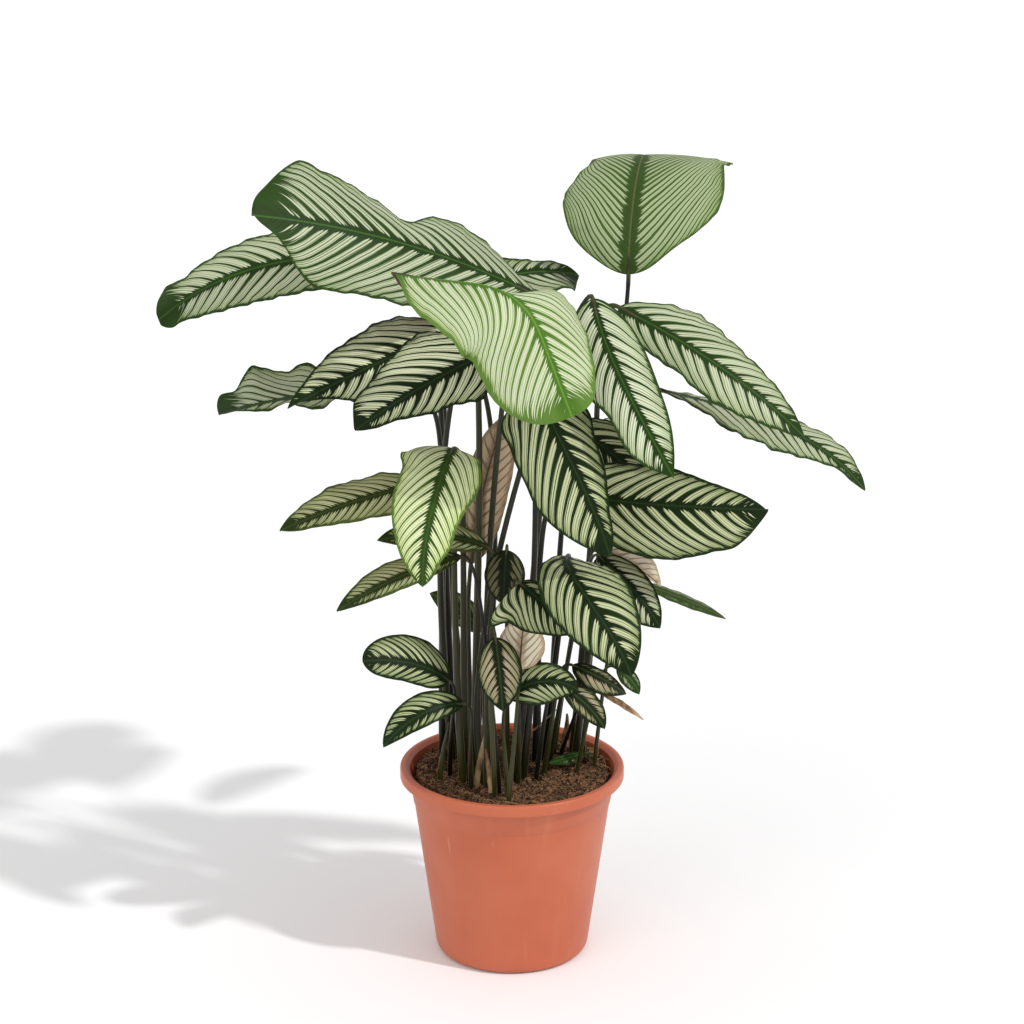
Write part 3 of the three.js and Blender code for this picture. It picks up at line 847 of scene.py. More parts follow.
@dataclass(frozen=True)
class PotFinish:
    """Moulded terracotta-coloured plastic with dust, specks and light scratches.

    dusty, scratched and specked are how much each of them shows where it is strongest.
    """

    clay: Colour = rgb(192, 101, 68)
    warm: Colour = rgb(184, 92, 60)
    dust: Colour = rgb(206, 130, 100)
    speck: Colour = rgb(92, 60, 42)
    dusty: float = 0.25
    scratched: float = 0.5
    specked: float = 0.75
    gloss: Pair = (0.36, 0.5)
    relief: float = 0.12
    shine: float = 0.45

    def material(self) -> bpy.types.Material:
        """The finish as a material.

        Returns:
            The material, which reads the place on the piece.
        """
        shader = Shader("pot_plastic_moulded")
        cloud = shader.grain(14, detail=4)
        colour = shader.mix(shader.rise(cloud, 0.3, 0.75), self.clay, self.warm)
        streak = shader.grain(60, 3, shader.stretched(1, 1, 0.05))
        haze = shader.times(shader.rise(streak, 0.55, 0.8), self.dusty)
        colour = shader.mix(haze, colour, self.dust)
        scratch = shader.rise(shader.grain(230, 2, shader.stretched(1, 1, 0.04)), 0.7, 0.76)
        worn = shader.times(scratch, shader.rise(cloud, 0.5, 0.62), self.scratched)
        colour = shader.mix(worn, colour, self.dust)
        dirt = shader.rise(shader.grain(480, detail=1), 0.79, 0.83)
        spots = shader.times(dirt, shader.rise(shader.grain(25, detail=2), 0.45, 0.6))
        colour = shader.mix(shader.times(spots, self.specked), colour, self.speck)
        fine = shader.grain(1500, detail=2)
        relief = shader.math("ADD", shader.times(fine, 0.35), shader.times(streak, 0.4))
        gloss = shader.between(cloud, *self.gloss)
        return shader.finish(colour, gloss, relief, self.relief, Specular_IOR_Level=self.shine)


@dataclass(frozen=True)
class SoilFinish:
    """Damp potting soil, dark with lighter crumbs."""

    name: str = "soil_bed"
    dark: Colour = rgb(42, 21, 8)
    brown: Colour = rgb(124, 84, 56)
    light: Colour = rgb(200, 168, 132)
    roughness: float = 0.95
    relief: float = 1.6
    shine: float = 0.25

    def material(self) -> bpy.types.Material:
        """The finish as a material.

        Returns:
            The material, which reads the place on the piece.
        """
        shader = Shader(self.name)
        coarse = shader.grain(240, detail=7)
        fine = shader.grain(900, detail=4)
        colour = shader.mix(shader.rise(coarse, 0.42, 0.62), self.dark, self.brown)
        bits = shader.times(shader.rise(fine, 0.56, 0.66), 0.7)
        colour = shader.mix(bits, colour, self.light)
        relief = shader.math("ADD", coarse, shader.times(fine, 0.5))
        return shader.finish(
            colour, self.roughness, relief, self.relief, Specular_IOR_Level=self.shine
        )


class LeafLook(Enum):
    """The finishes that the leaves have."""

    GREEN = BladeFinish("green")
    CROWN = BladeFinish(
        "crown",
        pale=rgb(196, 202, 174),
        rib=rgb(70, 112, 40),
        hair=rgb(84, 100, 56),
        rib_band=3.6,
        main=0.36,
        fine=1.2,
        tip=0.87,
    )
    LIGHT = BladeFinish("light", pale=rgb(224, 230, 202), rib_band=2.2, main=0.21, wedge=0.4)
    BRIGHT = BladeFinish(
        "bright",
        dark=rgb(82, 120, 38),
        deep=rgb(60, 96, 26),
        line=rgb(92, 124, 50),
        pale=rgb(212, 217, 191),
        fringe=rgb(150, 174, 76),
        rib=rgb(112, 160, 58),
        hair=rgb(136, 156, 90),
        under=rgb(86, 54, 52),
        margin_band=3.4,
        group=3,
        main=0.19,
        wedge=0.35,
        tip=0.92,
    )
    LIME = BladeFinish(
        "lime",
        dark=rgb(52, 80, 22),
        deep=rgb(34, 58, 14),
        line=rgb(88, 114, 46),
        pale=rgb(232, 238, 196),
        fringe=rgb(180, 200, 110),
        rib=rgb(58, 88, 28),
        hair=rgb(142, 158, 94),
        rib_band=2.4,
        group=3,
        main=0.2,
        wedge=0.3,
        tip=0.94,
    )
    GREY = BladeFinish(
        "grey_green",
        dark=rgb(56, 80, 28),
        deep=rgb(44, 66, 22),
        line=rgb(66, 92, 36),
        pale=rgb(176, 188, 150),
        fringe=rgb(124, 148, 78),
        rib=rgb(106, 106, 66),
        hair=rgb(122, 138, 92),
        rib_band=6.0,
        group=2,
        main=0.2,
        wedge=0.25,
        fine=0.7,
        tip=0.98,
    )
    DEEP = BladeFinish(
        "deep",
        dark=rgb(22, 42, 6),
        deep=rgb(10, 20, 2),
        line=rgb(22, 38, 8),
        # pale: the streaks' cream, made lighter as painted light for leaves that lie in the
        # crown's shade.
        pale=rgb(228, 232, 196),
        fringe=rgb(148, 162, 102),
        rib=rgb(40, 64, 28),
        hair=rgb(66, 82, 42),
        main=0.32,
    )
    BOLD = BladeFinish(
        "bold",
        dark=rgb(22, 42, 6),
        deep=rgb(10, 20, 2),
        line=rgb(24, 42, 8),
        pale=rgb(206, 211, 168),
        fringe=rgb(122, 140, 78),
        rib=rgb(40, 64, 28),
        hair=rgb(62, 80, 38),
        rib_band=3.0,
        main=0.4,
        wedge=0.5,
        fine=1.1,
        finger=3.2,
    )
    FRESH = BladeFinish(
        "fresh",
        dark=rgb(48, 62, 22),
        deep=rgb(38, 50, 16),
        line=rgb(80, 92, 42),
        pale=rgb(212, 214, 166),
        fringe=rgb(150, 164, 98),
        rib=rgb(64, 84, 30),
        hair=rgb(112, 118, 70),
        rib_band=2.2,
        group=3,
        wedge=0.25,
    )
    YOUNG = BladeFinish(
        "young",
        dark=rgb(26, 40, 10),
        deep=rgb(14, 24, 4),
        line=rgb(28, 38, 12),
        pale=rgb(214, 192, 164),
        fringe=rgb(122, 142, 80),
        rib=rgb(58, 78, 36),
        hair=rgb(92, 84, 56),
        under=rgb(158, 134, 106),
        under_band=rgb(206, 184, 152),
        rib_band=3.0,
        margin_band=1.8,
        wedge=0.35,
    )
    PALE = BladeFinish(
        "pale",
        under=rgb(194, 174, 144),
        under_band=rgb(238, 232, 206),
    )
    DARK = BladeFinish(
        "dark",
        dark=rgb(22, 34, 8),
        deep=rgb(10, 16, 2),
        line=rgb(20, 28, 6),
        pale=rgb(132, 122, 92),
        fringe=rgb(84, 92, 52),
        rib=rgb(40, 56, 22),
        hair=rgb(52, 58, 30),
        rib_band=4.0,
        wedge=0.9,
    )
    DRY = DryFinish()


# ---------------------------------------------------------------------------------------
# Leaves
# ---------------------------------------------------------------------------------------


@dataclass(frozen=True)
class SizeClass:
    """What leaves of one size have in common.

    rows and columns set how fine the blade is, stalk_radius is at the foot and at the
    blade, bend is how far the stalk runs straight on from the blade, vein is the spacing
    of the veins along the rib, and ripple is the height of the edge's small waves.
    """

    rows: int
    columns: int
    stalk_radius: Pair
    bend: float
    vein: float
    ripple: float


class LeafSize(Enum):
    """The sizes of leaves."""

    LARGE = SizeClass(96, 13, (3.2, 1.8), 40, 3.6, 1.1)
    MEDIUM = SizeClass(80, 10, (3.2, 1.8), 40, 3.3, 0.9)
    SMALL = SizeClass(56, 8, (2.1, 1.2), 16, 2.2, 0.6)
    TINY = SizeClass(40, 5, (1.8, 1.0), 16, 1.8, 0.3)


@dataclass(frozen=True)
class Blade:
    """Sizes that every blade shares.

    The groove runs along the rib. near_rib is where the first columns lie beside it, for
    blades that are wide enough. ripple_length is the length of the edge's small waves, and
    second_ripple the height and the number of the finer ones among them, as shares of
    theirs. The veins sweep forward on their way to the edge: vein_sweep is how far, by the
    distance from the rib and by its cube, as shares of the half width, and young_sweep how
    much of that they do at the blade's base, up to young_end.
    """

    thickness: float = 0.8
    edge_thickness: float = 0.35
    tip_half_width: float = 0.5
    rib_steps: int = 24
    groove: float = 0.7
    groove_width: float = 1.6
    near_rib: Pair = (1.3, 2.8)
    near_rib_share: float = 0.4
    ripple_length: float = 26
    second_ripple: Pair = (0.6, 1.9)
    vein_sweep: Pair = (1.05, 0.5)
    young_sweep: float = 0.6
    young_end: float = 0.3
    first_vein: int = 40
    crease: float = 55


@dataclass(frozen=True)
class Stalk:
    """Sizes that every stalk shares.

    bottom and top are its heights where it ends in the soil and where it leaves the hole.
    It runs on under the blade's rib, to the share rib_end of the blade's length. sheath and
    collar are how much thicker it is low down and just below the blade, and the pairs are
    the shares of its length between which that fades or begins.
    """

    bottom: float = 147
    top: float = 181
    points: int = 30
    sides: int = 10
    sheath: float = 0.16
    sheath_fades: Pair = (0.0, 0.3)
    collar: float = 0.14
    collar_begins: Pair = (0.9, 0.95)
    buried_share: float = 0.02
    rib_points: int = 16
    rib_end: float = 0.93
    rib_radius: float = 0.35
    rib_thinning: float = 0.7
    rib_depth: float = 0.8
    rib_depth_grows: Pair = (0.0, 0.12)
    rib_gap: float = 0.2


BLADE = Blade()
STALK = Stalk()


@dataclass
class Leaf:
    """One leaf: a stalk that stands in the soil, and the striped blade it carries.

    foot is where the stalk leaves the soil, via pulls its curve, and base is where the
    blade begins. Pairs give a value at the blade's base and at its tip, in degrees for
    heading, pitch and roll. half and curl are the left and the right half of the blade.
    wave is height, waves and phase. shoulder, peak and point shape the outline, droop sets
    how early the pitch changes or turn between which shares of the length it does, and keel
    is the fall of both halves. A nudge moves the edge out: side, share of the length, how
    far it spreads, and millimetres. tuck folds one side down near the base: side, the
    shares between which it opens, and degrees.
    """

    name: str
    foot: Pair
    via: Triple
    base: Triple
    length: float
    heading: Pair
    pitch: Pair
    roll: Pair
    half: Pair
    size: LeafSize = LeafSize.LARGE
    look: LeafLook = LeafLook.GREEN
    curl: Pair = (20, 20)
    keel: float = 0
    wave: Triple = (0, 0, 0)
    shoulder: float = 0.6
    peak: float = 0.46
    point: float = 0.85
    droop: float = 1
    turn: Pair | None = None
    bend: float | None = None
    arrival: Pair | None = None
    tone: float | None = None
    nudges: tuple[Nudge, ...] = ()
    tuck: Nudge | None = None

    def axes(self, along: float) -> tuple[Vector, Vector, Vector]:
        """How the blade is turned at a share of its length.

        Args:
            along: Share of the length.

        Returns:
            The way the rib runs, the way the upper face looks, and the right edge's side.
        """
        heading = between(self.heading, along)
        sunk = eased(along, *self.turn) if self.turn else along**self.droop
        pitch = between(self.pitch, sunk)
        ahead = direction(heading, pitch)
        up = direction(heading, pitch + 90)
        up.rotate(Quaternion(ahead, math.radians(between(self.roll, along))))
        return ahead, up, ahead.cross(up)

    def width(self, along: float) -> float:
        """Share of the full half width: a round base and a pointed tip.

        Args:
            along: Share of the length.

        Returns:
            The share, 1 at the blade's widest place.
        """
        if along < self.peak:
            return (1 - (1 - along / self.peak) ** 2) ** self.shoulder
        past = (along - self.peak) / (1 - self.peak)
        return max(0.0, 1 - past**2) ** self.point

    def nudge(self, along: float, side: int) -> float:
        """How far an edge is moved out.

        Args:
            along: Share of the length.
            side: 0 for the left edge, 1 for the right one.

        Returns:
            Millimetres; less than nothing moves it in.
        """
        sign = 2 * side - 1
        return sum(
            out * math.exp(-(((along - at) / spread) ** 2))
            for given, at, spread, out in self.nudges
            if given == sign
        )

    def rows(self) -> list[float]:
        """Shares of the length where the blade's rows lie, closer at base and tip."""
        count = self.size.value.rows
        return [(1 - math.cos(math.pi * i / count)) / 2 for i in range(count + 1)]

    def rib(self, shares: Sequence[float]) -> list[Vector]:
        """Points along the rib, found by stepping along its changing direction.

        Args:
            shares: Shares of the length, in rising order.

        Returns:
            The rib's point at each share.
        """
        here, start, points = Vector(self.base), 0.0, []
        for share in shares:
            step = (share - start) / BLADE.rib_steps
            for i in range(BLADE.rib_steps):
                here = here + self.axes(start + step * (i + 0.5))[0] * (self.length * step)
            start = share
            points.append(here.copy())
        return points

    def half_columns(self, half: float) -> list[float]:
        """Places from the rib to one edge.

        Args:
            half: The blade's greatest half width on that side.

        Returns:
            Shares of the half width: some close to the rib, and even steps from there on.
        """
        near = [d / half for d in BLADE.near_rib if d < BLADE.near_rib_share * half]
        first = near[-1] if near else 0.0
        count = self.size.value.columns
        return near + [first + (1 - first) * (i + 1) / count for i in range(count)]

    def columns(self) -> list[float]:
        """Places across the blade, from its left edge (-1) to its right edge (1)."""
        left = [-share for share in reversed(self.half_columns(self.half[0]))]
        return [*left, 0.0, *self.half_columns(self.half[1])]

    def ripple(self, along: float, across: float, width: float) -> float:
        """Small waves of the edge.

        Args:
            along: Share of the length.
            across: -1 at the left edge, 0 at the rib and 1 at the right edge.
            width: Share of the full half width there.

        Returns:
            How far the blade is lifted, in millimetres.
        """
        seed = seed_of(self.name)
        waves = self.length / BLADE.ripple_length + (seed % 5) * 0.2
        height, number = BLADE.second_ripple
        swing = math.sin(2 * math.pi * (waves * along + seed % 7 / 7)) + height * math.sin(
            2 * math.pi * (waves * number * along + seed % 11 / 11)
        )
        return self.size.value.ripple * abs(across) ** 3 * width * swing

    def surface(
        self, centre: Vector, along: float, across: float
    ) -> tuple[Vector, Vector, float]:
        """One point of the blade's middle surface.

        Args:
            centre: The rib's point there.
            along: Share of the length.
            across: -1 at the left edge, 0 at the rib and 1 at the right edge.

        Returns:
            The point, the way its upper face looks, and the half width there.
        """
        _, up, right = self.axes(along)
        side = 0 if across < 0 else 1
        least = BLADE.tip_half_width / self.half[side]
        width = max(self.width(along) + self.nudge(along, side) / self.half[side], least)
        out = math.copysign(1, across) if across else 0
        reach = self.half[side] * width * abs(across)
        turned = math.radians(self.curl[side]) * width * abs(across)
        chord = reach if not turned else reach * math.sin(turned / 2) / (turned / 2)
        lean = math.radians(self.keel)
        if self.tuck and self.tuck[0] == 2 * side - 1:
            lean += math.radians(self.tuck[3]) * (1 - eased(along, *self.tuck[1:3]))
        fall = lean + turned / 2
        height, waves, phase = self.wave
        swing = math.sin(2 * math.pi * (waves * along + phase + side / 2))
        lift = height * across * across * width * swing + self.ripple(along, across, width)
        aside, drop = out * chord * math.cos(fall), chord * math.sin(fall)
        point = centre + right * aside + up * (lift - drop)
        slope = abs(out) * (lean + turned)
        normal = up * math.cos(slope) + right * (out * math.sin(slope))
        return point, normal, self.half[side] * width

    def marks(self, along: float, across: float, half: float) -> tuple[Mark, Mark]:
        """What the blade's finish reads at a point.

        Args:
            along: Share of the length.
            across: -1 at the left edge, 0 at the rib and 1 at the right edge.
            half: The half width there.

        Returns:
            The vein number, the share across and the distance from the edge; and the share
            of the length, the distance from the rib and 1 for the upper face.
        """
        share = abs(across)
        sweep = BLADE.vein_sweep[0] * share + BLADE.vein_sweep[1] * share**3
        young = BLADE.young_sweep
        sweep *= young + (1 - young) * eased(along, 0, BLADE.young_end)
        started = along * self.length - half * sweep
        offset = seed_of(self.name) % 90 + (0.4 if across > 0 else 0)
        phase = started / self.size.value.vein + BLADE.first_vein + offset
        edge = min(half * (1 - share), self.length * (1 - along))
        return (phase, share, edge), (along, half * share, 1.0)

    def blade(self) -> tuple[list[Vector], Faces, list[Mark], list[Mark]]:
        """The blade as a thin closed sheet.

        Returns:
            Its points, its faces, and both sets of marks.
        """
        rows, columns = self.rows(), self.columns()
        points, veins, places = [], [], []
        for along, centre in zip(rows, self.rib(rows)):
            upper, lower = [], []
            for across in columns:
                point, normal, half = self.surface(centre, along, across)
                bulk = between((BLADE.thickness, BLADE.edge_thickness), across * across) / 2
                off = half * abs(across)
                dip = BLADE.groove * (1 - along) * math.exp(-((off / BLADE.groove_width) ** 2))
                vein, place = self.marks(along, across, half)
                upper.append((point + normal * (bulk - dip * 0.5), vein, place))
                lower.append((point - normal * (bulk + dip), vein, (*place[:2], 0.0)))
            for point, vein, place in [*upper, *reversed(lower)]:
                points.append(point)
                veins.append(vein)
                places.append(place)
        return points, sheet_faces(len(rows), 2 * len(columns)), veins, places

    def stalk(self) -> tuple[list[Vector], list[float], list[float]]:
        """The stalk's path from its buried foot to the blade, and on under the blade's rib.

        Returns:
            Points, the radius at each, and how far along each is: 1 where the blade begins.
        """
        thick = self.size.value.stalk_radius
        ahead = direction(*self.arrival) if self.arrival else self.axes(0)[0]
        bend = self.size.value.bend if self.bend is None else self.bend
        start, pull = Vector((*self.foot, STALK.top)), Vector(self.via)
        lead, end = Vector(self.base) - ahead * bend, Vector(self.base)
        points, radii = [Vector((*self.foot, STALK.bottom))], [thick[0]]
        progress = [0.0]
        for i in range(STALK.points + 1):
            t = i / STALK.points
            s = 1 - t
            here = start * s**3 + pull * (3 * s * s * t)
            points.append(here + lead * (3 * s * t * t) + end * t**3)
            sheath = 1 + STALK.sheath * (1 - eased(t, *STALK.sheath_fades))
            collar = 1 + STALK.collar * eased(t, *STALK.collar_begins)
            radii.append(between(thick, t) * sheath * collar)
            progress.append(between((STALK.buried_share, 1.0), t))
        shares = [STALK.rib_end * (i + 1) / STALK.rib_points for i in range(STALK.rib_points)]
        for share, centre in zip(shares, self.rib(shares)):
            radius = between((thick[1], STALK.rib_radius), share**STALK.rib_thinning)
            _, up, _ = self.axes(share)
            depth = radius * STALK.rib_depth * eased(share, *STALK.rib_depth_grows)
            points.append(centre - up * (depth + STALK.rib_gap))
            radii.append(radius)
            progress.append(1 + share)
        return points, radii, progress

    def build(self, sweep: "StalkSweep", finishes: "Finishes") -> bpy.types.Object:
        """Makes the leaf and hands it over.

        Args:
            sweep: Turns the stalk's path into a tube.
            finishes: The materials.

        Returns:
            The finished piece.
        """
        points, faces, veins, places = self.blade()
        path, radii, progress = self.stalk()
        first = len(points)
        edges = [(first + i, first + i + 1) for i in range(len(path) - 1)]
        mesh = mesh_of(f"blade_{self.name}", [*points, *path], faces, edges)
        blank = [(0.0, 0.0, 0.0)] * len(path)
        store(mesh, "vein", [*veins, *blank])
        store(mesh, "place", [*places, *blank])
        store(mesh, "sweep_radius", [*([0.0] * first), *(r * MM for r in radii)])
        store(mesh, "along", [*([0.0] * first), *progress])
        tone = seed_of(self.name) * 0.37 % 1 if self.tone is None else self.tone
        store(mesh, "tone", [tone] * (first + len(path)))
        piece = new_object(f"blade_{self.name}", mesh)
        sweep.apply(piece, finishes.blade(self.look), finishes.stalk)
        shade(piece, BLADE.crease)
        hand_over(piece, "leaf", f"leaf_{self.name}")
        return piece


class StalkSweep:
    """Sweeps a round section along the loose path in a leaf's mesh, and joins the blade."""

    def __init__(self) -> None:
        """Builds the tree once, for all the stalks."""
        nodes = Nodes("stalk_sweep")
        sides = nodes.size("Sides", "Int")
        blade = nodes.size("Blade Finish", "Material")
        stalk = nodes.size("Stalk Finish", "Material")
        radius = nodes.named("sweep_radius")
        path = nodes.math("GREATER_THAN", radius, 0.0)
        parts = nodes.add(
            "GeometryNodeSeparateGeometry",
            {"Geometry": nodes.source.outputs["Geometry"], "Selection": path},
            domain="POINT",
        )
        curve = nodes.add("GeometryNodeMeshToCurve", {"Mesh": parts.outputs["Selection"]})
        sized = nodes.add("GeometryNodeSetCurveRadius", {"Curve": curve, "Radius": radius})
        ring = nodes.add(
            "GeometryNodeCurvePrimitiveCircle", {"Resolution": sides, "Radius": 1.0}
        )
        place = nodes.add("GeometryNodeInputPosition").outputs[0]
        kept = nodes.add(
            "GeometryNodeStoreNamedAttribute",
            {"Geometry": ring, "Name": "around", "Value": place},
            data_type="FLOAT_VECTOR",
        )
        tube = nodes.add(
            "GeometryNodeCurveToMesh",
            {"Curve": sized, "Profile Curve": kept, "Fill Caps": True},
        )
        if "Scale" in tube.inputs:
            nodes.tree.links.new(radius, tube.inputs["Scale"])
        flagged = nodes.add(
            "GeometryNodeStoreNamedAttribute",
            {"Geometry": tube, "Name": "is_stalk", "Value": 1.0},
            data_type="FLOAT",
            domain="FACE",
        )
        joined = nodes.add("GeometryNodeJoinGeometry")
        nodes.tree.links.new(flagged.outputs[0], joined.inputs[0])
        nodes.tree.links.new(parts.outputs["Inverted"], joined.inputs[0])
        real = nodes.add("GeometryNodeRealizeInstances", {"Geometry": joined})
        dressed = nodes.add("GeometryNodeSetMaterial", {"Geometry": real, "Material": blade})
        chosen = nodes.math("GREATER_THAN", nodes.named("is_stalk"), 0.5)
        last = nodes.add(
            "GeometryNodeSetMaterial",
            {"Geometry": dressed, "Selection": chosen, "Material": stalk},
        )
        nodes.close(last)
        self.nodes = nodes

    def apply(
        self, piece: bpy.types.Object, blade: bpy.types.Material, stalk: bpy.types.Material
    ) -> None:
        """Sweeps one leaf's stalk and dresses both parts.

        Args:
            piece: The leaf, with its blade and its stalk's path.
            blade: The blade's material.
            stalk: The stalk's material.
        """
        sizes = {"Sides": STALK.sides, "Blade Finish": blade, "Stalk Finish": stalk}
        self.nodes.apply(piece, sizes)


class Finishes:
    """The materials that several pieces share, each made once."""

    def __init__(self) -> None:
        """Makes the stalks' material."""
        self.stalk = StalkFinish().material()
        self.made: dict[LeafLook, bpy.types.Material] = {}

    def blade(self, look: LeafLook) -> bpy.types.Material:
        """The material of a leaf's look, made when it is first asked for.

        Args:
            look: The look.

        Returns:
            The material.
        """
        if look not in self.made:
            self.made[look] = look.value.material()
        return self.made[look]


L, M, S, T = LeafSize.LARGE, LeafSize.MEDIUM, LeafSize.SMALL, LeafSize.TINY
CROWN, LIGHT, BRIGHT = LeafLook.CROWN, LeafLook.LIGHT, LeafLook.BRIGHT
LIME, GREY = LeafLook.LIME, LeafLook.GREY
DEEP, BOLD, FRESH, YOUNG = LeafLook.DEEP, LeafLook.BOLD, LeafLook.FRESH, LeafLook.YOUNG
PALE, DARK, DRY = LeafLook.PALE, LeafLook.DARK, LeafLook.DRY

